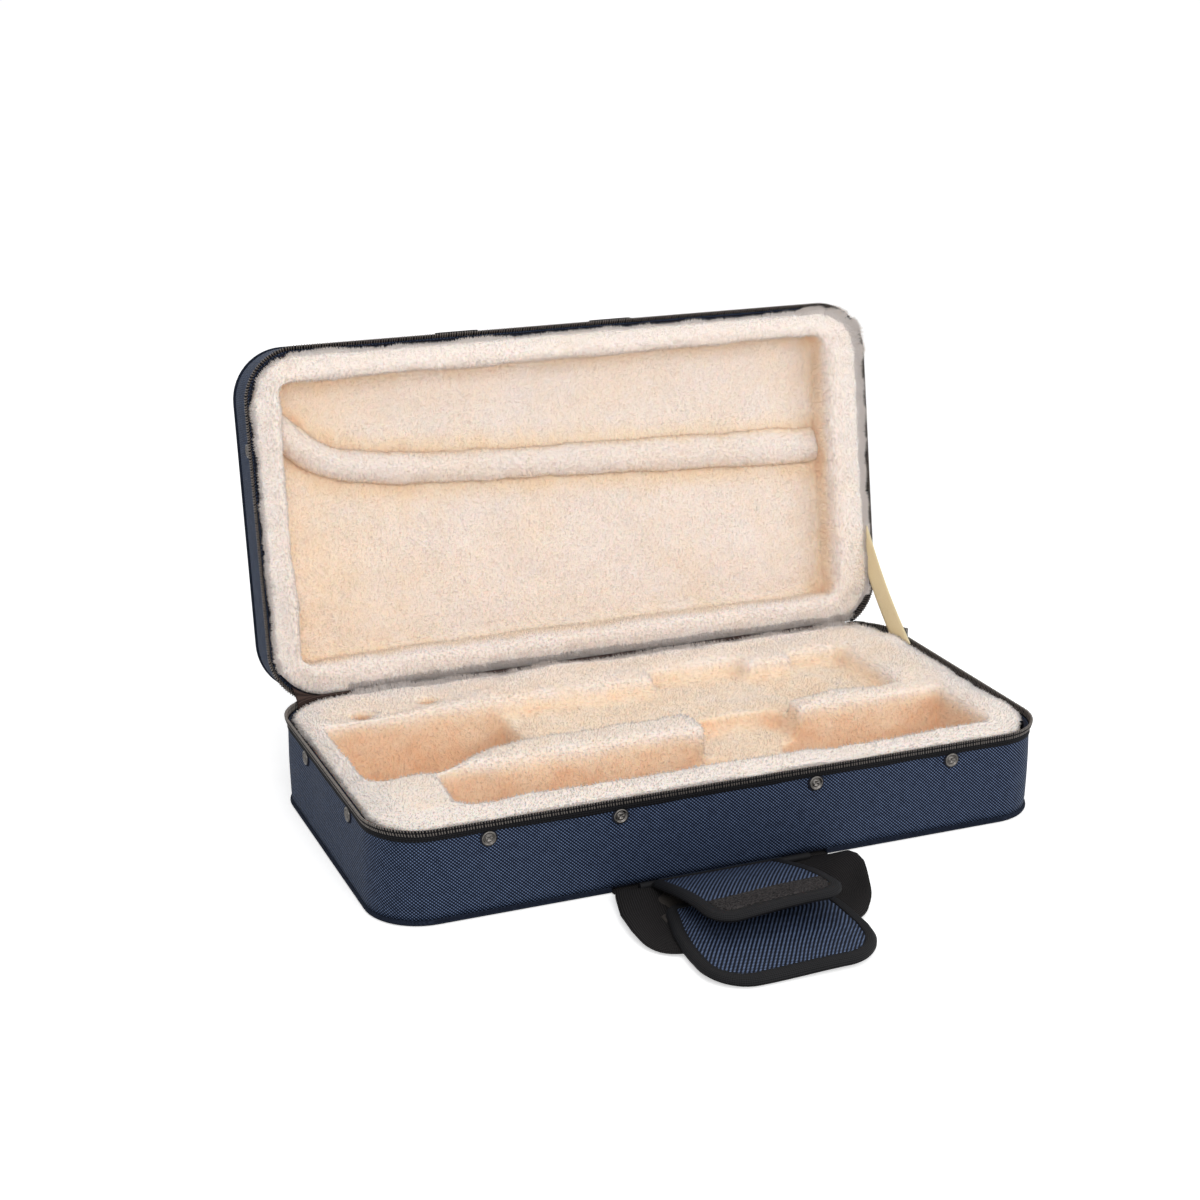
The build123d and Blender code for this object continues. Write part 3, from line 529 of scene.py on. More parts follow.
def coilLoop():
    sides = zipSet["loopSides"]
    half, depth, height = zipSet["half"], zipSet["depth"], zipSet["height"]
    a = circle * (np.arange(sides) + 0.5) / sides
    verts = [(half * along * math.cos(t), depth * out * math.sin(t), height * z)
             for z, along, out in zipSet["loop"] for t in a]
    return np.array(verts), tubeFaces(len(zipSet["loop"]), sides)[0]


def zipHalf(half, rim, inwards, place, kind):
    # rim is the height of the zip's edge; inwards is -1 where the case lies below it
    path = zipPath(0.004)
    runs = path[2]
    low, out = rim + inwards * zipSet["tapeLow"], zipSet["tapeOut"]
    headOut, flare, lean = zipSet[half]["headOut"], zipSet[half]["flare"], zipSet["lean"]
    lipDown, rootDown, edge, seam = (zipSet[key] for key in ("lip", "root", "edge", "seam"))
    lip, root = headOut - flare * lipDown, headOut - flare * rootDown
    lipUp, rootUp = rim + inwards * lipDown, rim + inwards * rootDown
    profile = [
        (seam, low), (out, low - 0.0004 * inwards), (out, rim + inwards * 0.0070), (root + edge, rootUp),
        (lip + edge, lipUp), (lip - edge, lipUp), (root - edge, rootUp), (seam, rim + inwards * 0.0064),
    ]
    pushes = np.zeros((len(runs), len(profile), 2))
    pushes[:, :2, 1] = (zipSet["sway"] * ripple(runs, runs * 0, kind, zipSet["swayLong"]))[:, None]
    tape = sweep(half + "_zip_band", path, profile, tapePaint, place, pushes)
    settle(tape, half, "zip_tape", half + "_zip_tape")
    fine, fineNormals, fineRuns, _ = zipPath(0.0005)
    marks = np.arange(fineRuns[0] + zipSet["end"], fineRuns[-1] - zipSet["end"], zipSet["pitch"])
    loops = []
    for k in np.searchsorted(fineRuns, marks):
        (x, y), (nx, ny) = fine[k], fineNormals[k]
        down = (-nx * flare - ny * lean, -ny * flare + nx * lean, inwards)
        loops.append(np.array([[-ny, nx, down[0], x + nx * headOut], [nx, ny, down[1], y + ny * headOut],
                               [0, 0, down[2], rim + 0.0002 * inwards]], float))
    settle(beads(half + "_zip_coil", loops, coilPaint, coilLoop(), place), half, "zip_coil", half + "_zip_chain")
    stitch, thread = zipSet["stitch"], zipSet["thread"]
    middle = headOut - flare * stitch + zipSet["depth"] * 0.6
    threadRing = [(middle + thread * math.cos(a), rim + inwards * stitch + thread * math.sin(a))
              for a in np.linspace(0, circle, 8, endpoint=False)]
    settle(sweep(half + "_zip_cord", path, threadRing, tapePaint, place), half, "zip_tape")


zipHalf("base", case["baseHeight"], -1, still, 5)
zipHalf("lid", 0.0, 1, lidFrame, 6)
print("zip made")

# the roll across the lid's recess
rollSet = {
    "line": [(-0.257, -0.086), (-0.240, -0.070), (-0.220, -0.052), (-0.190, -0.0420), (-0.150, -0.0365),
             (-0.105, -0.0335), (-0.02, -0.0295), (0.10, -0.0235), (0.245, -0.016)],
    "radius": 0.0128, "middle": 0.029, "turns": 28, "steps": 110,
    "sizes": (0.03, 0.011, 0.0045), "swells": (0.0014, 0.0014, 0.0016),
}
liningSet = {
    "voxel": 0.0045, "pressure": 3.0, "cap": 0.0035, "frames": 20, "stiff": 12, "bending": 2,
    "sizes": (0.045, 0.013, 0.0045), "swells": (0.0045, 0.0015, 0.0004),
    "rim": 0.0028, "rimDepth": (0.0075, 0.0035), "rimReach": (-0.016, -0.006),
    "hingeRim": 0.0022, "hingeY": (0.110, 0.136), "hingeX": (-0.222, -0.205), "hingeGap": 0.0028,
    "ledge": 0.005, "ledgeFront": (-0.139, -0.122), "ledgeBack": (-0.088, -0.112), "ledgeUp": (0.020, 0.060),
    "sockets": ((-0.219, 0.087), (-0.161, 0.099)), "socketWide": 0.016, "socketHeld": 0.013,
    "corners": ((-0.237, -0.104, -1, -1), (0.225, -0.104, 1, -1), (-0.237, 0.101, -1, 1), (0.225, 0.101, 1, 1)),
    "cornerWide": 0.030, "cornerHeld": 0.018, "cornerPower": 5,
    # wall: how much painted shade the walls of the hollows take
    "base": {"rounds": 7, "floor": 0.068, "wall": 0.26},
    "lid": {"rounds": 4, "floor": 0.045, "wall": 0.40},
}


def bake(piece):  # applies every modifier
    graph = bpy.context.evaluated_depsgraph_get()
    made = bpy.data.meshes.new_from_object(piece.evaluated_get(graph), depsgraph=graph)
    old = piece.data
    piece.modifiers.clear()
    piece.data = made
    bpy.data.meshes.remove(old)


def fuse(name, meshes):
    work = bmesh.new()
    for mesh in meshes:
        work.from_mesh(mesh)
    data = bpy.data.meshes.new(name)
    work.to_mesh(data)
    work.free()
    return linked(name, data)


def markGroup(piece, name, chosen):
    group = piece.vertex_groups.new(name=name)
    group.add(np.nonzero(chosen)[0].tolist(), 1.0, "REPLACE")


def puff(piece, held):  # swells a soft mesh by simulation; held marks the points that stay
    before = coords(piece.data)
    markGroup(piece, "held", held)
    cloth = piece.modifiers.new("puff", "CLOTH").settings
    cloth.quality = 4
    cloth.use_pressure = True
    cloth.uniform_pressure_force = liningSet["pressure"]
    cloth.effector_weights.gravity = 0
    cloth.vertex_group_mass = "held"
    cloth.tension_stiffness = cloth.compression_stiffness = liningSet["stiff"]
    cloth.bending_stiffness = liningSet["bending"]
    for number in range(1, liningSet["frames"] + 1):
        bpy.context.scene.frame_set(number)
    bake(piece)
    bpy.context.scene.frame_set(1)
    moved = coords(piece.data) - before
    far = np.linalg.norm(moved, axis=1)
    setCoords(piece.data, before + moved * (np.minimum(far, liningSet["cap"]) / np.maximum(far, 1e-9))[:, None])


def plushSkin(piece, spec):  # one subdivision, then swells of three sizes
    finer = piece.modifiers.new("finer", "SUBSURF")
    finer.levels = finer.render_levels = 1
    for size, strength, depth in zip(spec["sizes"], spec["swells"], (1, 1, 2)):
        texture = bpy.data.textures.new(piece.name + "_swell", "CLOUDS")
        texture.noise_scale, texture.noise_depth = size, depth
        change = piece.modifiers.new("swell", "DISPLACE")
        change.texture, change.strength = texture, strength
        change.mid_level, change.texture_coords = 0.5, "LOCAL"
    bake(piece)
    piece.data.shade_smooth()
    piece.data.materials.clear()
    piece.data.materials.append(plushCloth)


def planReach(own):  # how far outside the case's plan a point is, and the way outwards
    hx, hy, r = case["length"] / 2, case["width"] / 2, case["corner"]
    qx, qy = np.abs(own[:, 0]) - (hx - r), np.abs(own[:, 1]) - (hy - r)
    px, py = np.maximum(qx, 0), np.maximum(qy, 0)
    far = np.hypot(px, py)
    inside = far < 1e-6
    px, py = np.where(inside & (qx >= qy), 1, px), np.where(inside & (qy > qx), 1, py)
    length = np.hypot(px, py)
    out = np.stack([np.sign(own[:, 0]) * px / length, np.sign(own[:, 1]) * py / length, 0 * px], 1)
    return np.where(inside, np.maximum(qx, qy), far) - r, out


def depthBelow(own, place):  # how far a point lies below the zip's edge
    return case["baseHeight"] - own[:, 2] if place is still else own[:, 2]


def socketGap(own, place):  # how far a point lies from the nearer mouthpiece socket's middle
    if place is not still:
        return np.ones(len(own))
    return np.min([np.hypot(own[:, 0] - x, own[:, 1] - y) for x, y in liningSet["sockets"]], axis=0)


def evened(data, values, times):  # each point's values drawn to the middle of its neighbours', times over
    a, b = readAll(data.edges, "vertices", np.int32, 2).T
    total = len(values)
    count = np.maximum(np.bincount(a, minlength=total) + np.bincount(b, minlength=total), 1)
    for _ in range(times):
        values = np.stack([(np.bincount(a, one[b], total) + np.bincount(b, one[a], total)) / count
                           for one in values.T], 1)
    return values


def normalsOf(data):
    return readAll(data.vertices, "normal", np.float32, 3).astype(float)


def setShare(data, name, share):
    layer = data.attributes.get(name) or data.attributes.new(name, "FLOAT", "POINT")
    layer.data.foreach_set("value", np.clip(share, 0, 1).astype(np.float32))


def shapeRim(own, place):
    reach, out = planReach(own)
    depth = depthBelow(own, place)
    # the rim swells out over the walls' edges, towards the zip
    share = softStep(depth, *liningSet["rimDepth"]) * softStep(reach, *liningSet["rimReach"])
    atHinge = softStep(own[:, 1], *liningSet["hingeY"]) * softStep(own[:, 0], *liningSet["hingeX"])
    own = own + out * (share * (liningSet["rim"] + liningSet["hingeRim"] * atHinge))[:, None]
    if place is still:  # the front ledge is broad and soft
        front = softStep(own[:, 1], *liningSet["ledgeFront"]) * softStep(own[:, 1], *liningSet["ledgeBack"])
        own[:, 1] += liningSet["ledge"] * front * softStep(own[:, 2], *liningSet["ledgeUp"])
        return own
    wide, power = liningSet["cornerWide"], liningSet["cornerPower"]
    for x, y, sx, sy in liningSet["corners"]:  # the recess's corners are nearly square
        px, py = (own[:, 0] - x) * sx, (own[:, 1] - y) * sy
        far = np.hypot(px, py)
        at = (px > 0) & (py > 0) & (far < wide)
        c, t = px[at] / far[at], py[at] / far[at]
        square = (np.abs(c) ** power + np.abs(t) ** power) ** (-1 / power) - 1
        grow = 1 + square * softStep(far[at], wide, liningSet["cornerHeld"]) * softStep(depth[at], 0.0, 0.003)
        own[at, 0], own[at, 1] = x + px[at] * grow * sx, y + py[at] * grow * sy
    return own


warmSet = {  # the painted shade: how much each adds, and between which depths, hollows or distances it comes in; lip sets how much longer the tufts grow at the lips
    "inside": (0.11, 0.001, 0.012), "crease": (0.25, 0.0002, 0.0020), "deepCrease": (0.6, 0.0012, 0.0040),
    "ridge": (0.2, 0.0003, 0.0020), "bed": (0.24, 0.016, 0.034), "bedInside": 0.13,
    "socket": (0.5, 0.0145, 0.0125), "socketDepth": (0.001, 0.007),
    "left": (0.22, 0.100, 0.235), "roll": (0.40, 0.034, 0.014), "rollEnd": 0.243, "lip": (1, 0.0004, 0.0016),
}


def warmth(value, key):
    most, low, high = warmSet[key]
    return most * softStep(value, low, high)


def paintLiningShade(data, place, wall):  # painted shade: warmer and darker on the walls of the hollows and in the creases, lighter on the ridges
    points, normals = coords(data), normalsOf(data)
    hollow = ((evened(data, points, 14) - points) * normals).sum(1)
    own = ownPlace(points, place)
    up = np.abs(normals @ np.array(place)[:3, 2])
    depth = depthBelow(own, place)
    inner = softStep(depth, *warmSet["inside"][1:])
    warm = inner * (warmSet["inside"][0] + wall * (1 - up) + warmth(hollow, "deepCrease"))
    # painted shade in the creases, painted light on the ridges
    warm += warmth(hollow, "crease") - warmth(-hollow, "ridge")
    if place is still:
        warm += warmth(-planReach(own)[0], "bed") + warmSet["bedInside"] * inner
        warm += warmth(socketGap(own, place), "socket") * softStep(depth, *warmSet["socketDepth"])
    else:  # painted shade, deeper towards the lid's left end and beside the roll
        beside = np.abs(own[:, 1] - np.interp(own[:, 0], *np.array(rollSet["line"]).T))
        warm += inner * (warmth(-own[:, 0], "left") + warmth(beside, "roll") * (own[:, 0] < warmSet["rollEnd"]))
    setShare(data, "warm", evened(data, warm[:, None], 5)[:, 0])
    setShare(data, "lip", warmth(-hollow, "lip"))


def lining(half, place):
    spec = liningSet[half]
    sources = (half + "_plush", half + "_foam")
    piece = fuse(half + "_lining", [nodes[name].data for name in sources])
    remesh = piece.modifiers.new("even", "REMESH")
    remesh.mode, remesh.voxel_size = "VOXEL", liningSet["voxel"]
    bake(piece)
    # the mouthpiece sockets keep their shape; the rest is rounded off
    socket = socketGap(ownPlace(coords(piece.data), place), place) < liningSet["socketWide"]
    for title, chosen, rounds in (("open", ~socket, spec["rounds"]), ("socket", socket, 2)):
        markGroup(piece, title, chosen)
        soften = piece.modifiers.new(title, "SMOOTH")
        soften.factor, soften.iterations, soften.vertex_group = 0.5, rounds, title
    bake(piece)
    piece.vertex_groups.clear()
    own = ownPlace(coords(piece.data), place)
    depth = depthBelow(own, place)
    held = ((planReach(own)[0] > -0.0075) & (depth > 0.008)) | (depth > spec["floor"])
    puff(piece, held | (socketGap(own, place) < liningSet["socketHeld"]))
    setCoords(piece.data, backPlace(shapeRim(ownPlace(coords(piece.data), place), place), place))
    plushSkin(piece, liningSet)
    own = ownPlace(coords(piece.data), place)
    reach, out = planReach(own)
    over = np.maximum(reach + liningSet["hingeGap"], 0) * softStep(own[:, 1], 0.112, 0.128)
    setCoords(piece.data, backPlace(own - out * over[:, None], place))  # the plush stays inside the hinge cloth
    paintLiningShade(piece.data, place, spec["wall"])
    settle(piece, half, "plush", *sources)
    print(piece.name, len(piece.data.polygons), "faces")
    return piece


def smoothLine(points, count):  # an even walk along a smooth curve through the points
    curve = bpy.data.curves.new("line", "CURVE")
    curve.dimensions = "3D"
    spline = curve.splines.new("NURBS")
    spline.points.add(len(points) - 1)
    for k, (x, y) in enumerate(points):
        spline.points[k].co = (x, y, 0, 1)
    spline.order_u = 3
    spline.use_endpoint_u = True
    spline.resolution_u = 24
    holder = bpy.data.objects.new("line", curve)
    data = bpy.data.meshes.new_from_object(holder)
    walk = coords(data)
    bpy.data.objects.remove(holder)
    bpy.data.curves.remove(curve)
    bpy.data.meshes.remove(data)
    far = walked(walk)
    return np.stack([np.interp(np.linspace(0, far[-1], count), far, one) for one in walk.T], 1)


def rollPiece():
    steps, turns = rollSet["steps"], rollSet["turns"]
    walk = smoothLine(rollSet["line"], steps)
    along = np.gradient(walk, axis=0)
    along /= np.linalg.norm(along, axis=1)[:, None]
    side = np.stack([-along[:, 1], along[:, 0], along[:, 0] * 0], 1)  # towards the hinge
    t = np.linspace(0, 1, steps)[:, None]
    a = circle * np.arange(turns) / turns
    c, s = np.cos(a), np.sin(a)
    r = rollSet["radius"] * (1 + 0.03 * np.sin(37 * t) + 0.02 * np.sin(83 * t + 1))
    fade = np.clip((t - 0.45) / 0.55, 0, 1)  # the upper side eases out to the right
    wide = np.where(c > 0, r, r * (1 + 0.5 * fade)) * np.minimum(1, (1 - t) * 18 + 0.7)
    tall = r * (1 - 0.25 * fade) * np.where(s > 0, 1, 0.6)
    rings = walk[:, None] + side[:, None] * (c * wide)[:, :, None]
    rings[:, :, 2] += rollSet["middle"] - s * tall
    piece = tubeMesh("lid_roll", rings, plushCloth, place=lidFrame)
    plushSkin(piece, rollSet)
    own = ownPlace(coords(piece.data), lidFrame)
    # painted shade, deeper low on the roll where it meets the lid's floor
    setShare(piece.data, "warm", 0.04 + 0.80 * softStep(own[:, 2], 0.019, 0.032))
    setShare(piece.data, "lip", 0 * own[:, 2])
    settle(piece, "lid", "plush", "lid_bolster")
    return piece


baseLining = lining("base", still)
lidLining = lining("lid", lidFrame)
lidRoll = rollPiece()
print("linings made")

# short tufts over the plush
pileSet = {"length": 0.0017, "uneven": (0.7, 1.25), "half": 0.00050, "lean": 1.1, "sink": 0.0005, "lip": 0.5,
           "stray": 0.35, "shadeLean": 0.2, "shadeStray": 0.13}


def oneLong(vectors):
    return vectors / np.maximum(np.linalg.norm(vectors, axis=1), 1e-12)[:, None]


def pile(name, source, count, kind, wanted, comb, longer=None, hold=None, facing=(0, 0, 0)):
    # wanted picks the faces, comb gives the lean, longer the length, and hold keeps the tips inside
    data = source.data
    data.calc_loop_triangles()
    corners = readAll(data.loop_triangles, "vertices", np.int32, 3)
    spots = coords(data)[corners]
    cross = np.cross(spots[:, 1] - spots[:, 0], spots[:, 2] - spots[:, 0])
    area = np.linalg.norm(cross, axis=1) * wanted(spots.mean(1))
    rng = np.random.default_rng(kind)
    share = np.cumsum(area) / area.sum()
    pick = np.searchsorted(share, (np.arange(count) + rng.uniform(0, 1, count)) / count)
    pick = np.minimum(pick, len(share) - 1)
    a, b = rng.uniform(0, 1, (2, count, 1))
    flip = a + b > 1
    a, b = np.where(flip, 1 - a, a), np.where(flip, 1 - b, b)
    root = spots[pick, 0] + a * (spots[pick, 1] - spots[pick, 0]) + b * (spots[pick, 2] - spots[pick, 0])
    up = oneLong(cross)[pick]
    combed = comb(root)
    combed = combed - up * (combed * up).sum(1)[:, None]
    way = oneLong(up + combed * pileSet["lean"] + rng.normal(0, pileSet["stray"], (count, 3)))
    nearest = corners[pick, 0]
    long = pileSet["length"] * rng.uniform(*pileSet["uneven"], count)
    long *= 1 + pileSet["lip"] * readAll(data.attributes["lip"].data, "value", np.float32)[nearest]
    if longer is not None:
        long *= longer(root)
    first = oneLong(np.cross(up, rng.normal(0, 1, (count, 3))))
    second = np.cross(up, first)
    foot = root - up * pileSet["sink"]
    verts = np.empty((count, 4, 3))
    for k in range(3):
        a = circle * k / 3
        verts[:, k] = foot + (first * math.cos(a) + second * math.sin(a)) * pileSet["half"]
    tips = foot + way * (long + pileSet["sink"])[:, None]
    verts[:, 3] = tips if hold is None else hold(tips)
    start = np.arange(count)[:, None] * 4
    faces = np.concatenate([start + np.array(face) for face in ((0, 1, 3), (1, 2, 3), (2, 0, 3))])
    piece = finishMesh(name, verts.reshape(-1, 3), faces.tolist(), plushCloth, recalc=False)
    # the tufts shade as the cloth under them does
    soft = normalsOf(data)[nearest] + way * pileSet["shadeLean"] + rng.normal(0, pileSet["shadeStray"], (count, 3))
    soft = oneLong(soft + np.array(facing))
    piece.data.normals_split_custom_set_from_vertices(np.repeat(soft, 4, 0).tolist())
    # the tufts carry the painted shade of the cloth under them
    warm = readAll(data.attributes["warm"].data, "value", np.float32)
    setShare(piece.data, "warm", np.repeat(warm[nearest], 4))
    return piece


def bedWanted(place, deepest):
    def wanted(middle):
        own = ownPlace(middle, place)
        depth = depthBelow(own, place)
        inner = (np.abs(own[:, 0]) < case["length"] / 2 - 0.010) & (np.abs(own[:, 1]) < case["width"] / 2 - 0.010)
        return ((depth < deepest) & inner) | (depth < 0.0035)
    return wanted


def rimWanted(place, zone=None):
    # zone is 2 for the right-hand side, 1 for the rest of the upper right corner, 0 for the rest
    def wanted(middle):
        own = ownPlace(middle, place)
        x, y = own[:, 0], own[:, 1]
        zones = np.where(x > 0.262, 2, np.where((x > 0.215) & (y < -0.129), 1, 0))
        at = (planReach(own)[0] > -0.0068) & (depthBelow(own, place) < 0.0045)
        return at if zone is None else at & (zones == zone)
    return wanted


def hingeWanted(place):
    def wanted(middle):
        own = ownPlace(middle, place)
        x, y = own[:, 0], own[:, 1]
        return (y > 0.131) & (depthBelow(own, place) < 0.006) & (x > -0.213) & (x < 0.262)
    return wanted


def baseComb(root):
    x, y = root[:, 0], root[:, 1]
    return np.stack([ripple(x, y, 21, 0.12), ripple(x, y, 22, 0.12), -0.5 + 0 * x], 1)


def lidComb(root):
    x, z = root[:, 0], root[:, 2]
    return np.stack([0.5 * ripple(x, z, 31, 0.15), 0 * x, -0.8 + 0.5 * ripple(x, z, 32, 0.1)], 1)


def outComb(place, up, hinge=False):  # outwards all round, or straight back at the hinge
    turn = np.array(place)[:3, :3]

    def comb(root):
        out = np.array([[0.0, 1.0, 0.0]]) if hinge else planReach(ownPlace(root, place))[1] * 1.5
        return out @ turn.T + turn[:, 2] * up
    return comb


def lidLong(root):  # longest round the upper right corner, where the plush hides the zip
    own = ownPlace(root, lidFrame)
    corner = softStep(own[:, 0], 0.236, 0.264) * softStep(-own[:, 1], 0.090, 0.124)
    side = softStep(own[:, 0], 0.250, 0.266) * softStep(-own[:, 1], -0.030, 0.050)
    return 1.1 + 0.9 * softStep(root[:, 0], 0.17, 0.25) + 3.0 * corner + 0.8 * side


def hingeLong(root):
    return 2.3 + 0.5 * ripple(root[:, 0], 0 * root[:, 0], 51, 0.05)


def rimHold(place, most, first=0, last=0):
    # keeps the tips inside the zip, and clear of the slider between first and last on the right-hand side
    turn = np.array(place)[:3, :3]

    def hold(tips):
        own = ownPlace(tips, place)
        reach, out = planReach(own)
        slider = (own[:, 0] > 0.25) & (own[:, 1] > first) & (own[:, 1] < last)
        limit = np.where(slider, -0.0028, np.where(own[:, 1] > 0.118, -0.0034, most))
        return tips - (out * np.maximum(reach - limit, 0)[:, None]) @ turn.T
    return hold


baseHold = rimHold(still, 0.0004, -0.108, 0.112)
lidHold = rimHold(lidFrame, 0.0004)
lidFace = -np.array(lidFrame)[:3, 2]
lidRim = outComb(lidFrame, -0.4)
piles = {  # each: the plush under it, number of tufts, seed, where, combed which way, longer, held, facing
    "base_pile": (baseLining, 64000, 41, bedWanted(still, 0.066), baseComb, None, baseHold, (0, -0.3, 0.6)),
    "lid_pile": (lidLining, 64000, 42, bedWanted(lidFrame, 0.042), lidComb, None, lidHold, lidFace * 0.7),
    "roll_pile": (lidRoll, 12000, 43, lambda m: ownPlace(m, lidFrame)[:, 2] < 0.032, lidComb, None, None, lidFace),
    "base_fringe": (baseLining, 9000, 44, rimWanted(still), outComb(still, 0.2), None, baseHold),
    "lid_fringe": (lidLining, 10000, 45, rimWanted(lidFrame, 0), lidRim, lidLong, lidHold, lidFace * 1.5),
    "lid_fringe_corner": (lidLining, 3500, 49, rimWanted(lidFrame, 1), lidRim, lidLong,
                          rimHold(lidFrame, 0.0060), lidFace * 2),
    "lid_fringe_right": (lidLining, 8000, 48, rimWanted(lidFrame, 2), lidRim, lidLong,
                         rimHold(lidFrame, 0.0060, 0.078, 0.110), lidFace * 2),
    "base_hinge_fringe": (baseLining, 9000, 46, hingeWanted(still), outComb(still, 0.5, True), hingeLong),
    "lid_hinge_fringe": (lidLining, 9000, 47, hingeWanted(lidFrame), outComb(lidFrame, -0.5, True), hingeLong),
}
plush = {"base_lining": baseLining, "lid_lining": lidLining, "lid_roll": lidRoll}
for name, spec in piles.items():
    plush[name] = settle(pile(name, *spec), "base" if name.startswith("base") else "lid", "plush")

lidUp, lidOut = Vector(lidFrame.col[2][:3]), Vector(lidFrame.col[1][:3])
lidBack = lidFrame @ Vector((0, 0, case["lidHeight"]))
flattened = (  # groups of plush pieces, each with an axis, an anchor and a share; every piece gets its own copy of its mesh
    (("base_lining", "base_pile", "base_fringe"), (0, 0, 1), (0, 0, 0), 0.93),
    (("lid_lining", "lid_pile", "lid_roll", "roll_pile", "lid_fringe"), lidUp, lidBack, 0.905),
    (("base_hinge_fringe",), (0, 1, 1), (0, 0.128, 0.070), 0.25),
    (("lid_hinge_fringe",), lidOut - lidUp, lidFrame @ Vector((0, 0.128, 0.005)), 0.25),
    (("lid_fringe_right",), Vector((1, 0, 0)) - lidUp, lidFrame @ Vector((0.262, 0, 0.006)), 0.25),
    (("lid_fringe_corner",), -lidOut - lidUp, lidFrame @ Vector((0, -0.129, 0.006)), 0.25),
)
for names, axis, anchor, keep in flattened:
    for name in names:
        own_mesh(plush[name], "lid_hinge", axis=tuple(axis), anchor=tuple(anchor), keep=keep)
print("pile made")


def bandRing(columns, ease):  # a flat band's section, thinner at its edges: across from -1 to 1 and back, and up
    across = np.linspace(-1, 1, columns + 1)
    height = np.where(np.abs(across) == 1, ease, 1.0)
    return np.concatenate([across, across[::-1]]), np.concatenate([height, -height])


def strap(name, middles, across, up, half, thick, marks, paint, columns=8):
    aside, height = bandRing(columns, 0.45)
    rings = middles[:, None] + np.outer(aside * half, across) + np.outer(height * thick / 2, up)
    return tubeMesh(name, rings, paint, marks, aside * half)


# the lid's stay: a ribbon between the right-hand walls
staySet = {"width": 0.025, "thick": 0.0008, "x": 0.2718, "foot": (0.080, 0.0655), "head": (0, 0.065, 0.006),
           "past": 0.004, "steps": 40, "bow": 0.004}


def stayPiece():
    top = lidFrame @ Vector(staySet["head"])
    low = np.array([staySet["x"], *staySet["foot"]])
    high = np.array([staySet["x"], top.y, top.z])
    line = (high - low) / np.linalg.norm(high - low)
    high = high + line * staySet["past"]
    run = np.linalg.norm(high - low)
    across = np.cross(line, [1, 0, 0])
    t = np.linspace(0, 1, staySet["steps"])[:, None]
    middles = low + (high - low) * t + across * (staySet["bow"] * np.sin(math.pi * t))
    piece = strap("lid_stay_ribbon", middles, across, (1, 0, 0), staySet["width"] / 2, staySet["thick"],
                  t[:, 0] * run, ribbonPaint)
    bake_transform(piece)
    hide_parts("lid_stay")


# the hinge's cloth: from the base's wall, round its cord, to the lid's wall
hingeSet = {"left": -0.2600, "right": 0.2240, "thick": 0.0010, "columns": 104, "steps": 9, "rounds": 3,
            "base": ((0, 0.067), (0, 0.0715), (-0.0002, 0.0755), (0.0010, 0.0762)), "lid": (-0.0005, 0.006, 0.010)}


def hingePiece():
    xs = np.linspace(hingeSet["left"], hingeSet["right"], hingeSet["columns"])
    r = case["corner"]
    over = np.maximum(np.abs(xs) - (case["length"] / 2 - r), 0)
    ys = case["hingeY"] - r + np.sqrt(np.maximum(r * r - over ** 2, 0))  # the back wall, rounded off at its corners
    line = [np.stack([xs, ys + aside, z + 0 * xs], 1) for aside, z in hingeSet["base"]]
    line += [backPlace(np.stack([xs, ys, depth + 0 * xs], 1), lidFrame) for depth in hingeSet["lid"]]
    finer = []
    for low, high in zip(line, line[1:]):
        finer += [low * (1 - t) + high * t for t in np.linspace(0, 1, hingeSet["steps"])[:-1]]
    walk = np.array(finer + [line[-1]])
    for _ in range(hingeSet["rounds"]):
        walk[1:-1] = walk[1:-1] * 0.5 + (walk[:-2] + walk[2:]) * 0.25
    ups = np.cross(np.gradient(walk, axis=0), np.gradient(walk, axis=1))
    ups *= hingeSet["thick"] / 2 / np.linalg.norm(ups, axis=2)[:, :, None]
    marks = walked(walk[:, len(xs) // 2])
    uv = np.stack(np.broadcast_arrays(xs, marks[:, None]), -1).reshape(-1, 2)
    piece = skinMesh("hinge_cloth", (walk + ups).reshape(-1, 3), (walk - ups).reshape(-1, 3), len(walk), hingePaint, uv)
    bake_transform(piece)
    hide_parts("hinge_leaf_base", "hinge_leaf_lid")


stayPiece()
hingePiece()
print("stay and hinge made")

# the webbing straps; lay is how the ground strap's legs lie aside and up, by the distance from the case
handleSet = {
    "ends": (-0.080, 0.060), "half": 0.019, "thick": 0.0020, "reach": 0.108, "bulge": 0.012,
    "outer": 0.024, "inner": 0.005, "shares": (26, 12, 30), "columns": 10, "sewn": -0.1388, "wavy": 0.0006,
    "layLeft": ((0, 0.006, 0.017, 0.043, 0.068, 0.087, 0.108), (0, -0.001, -0.004, -0.008, -0.0075, -0.004, 0),
                (0, 0.0055, 0.0062, 0.005, 0.0045, 0.003, 0.001)),
    "layRight": ((0, 0.020, 0.035, 0.050, 0.063, 0.080, 0.095, 0.108),
                 (0, 0.003, 0.001, -0.003, -0.009, -0.017, -0.024, -0.026),
                 (0, 0.011, 0.016, 0.017, 0.015, 0.010, 0.005, 0.001)),
}


def roundedU(corners, radius):  # one edge of the U, step by step, in the strap's own plane
    corners = np.array(corners, float)
    first, bend, last = handleSet["shares"]
    path = [corners[0]]
    for k, share in ((1, first), (2, last)):
        here = corners[k]
        a, b = ((side - here) / np.linalg.norm(side - here) for side in (corners[k - 1], corners[k + 1]))
        half = math.acos(a @ b) / 2
        p, q = here + a * radius / math.tan(half), here + b * radius / math.tan(half)
        centre = here + (a + b) / np.linalg.norm(a + b) * (radius / math.sin(half))
        s0, s1 = (p - centre) / radius, (q - centre) / radius
        full = math.acos(max(-1, min(1, s0 @ s1)))
        path += [path[-1] + (p - path[-1]) * t for t in np.linspace(0, 1, share)[1:-1]]
        path += [centre + radius * (s0 * math.sin((1 - t) * full) + s1 * math.sin(t * full)) / math.sin(full)
                 for t in np.linspace(0, 1, bend)]
    path += [path[-1] + (corners[3] - path[-1]) * t for t in np.linspace(0, 1, first)[1:]]
    return np.array(path)


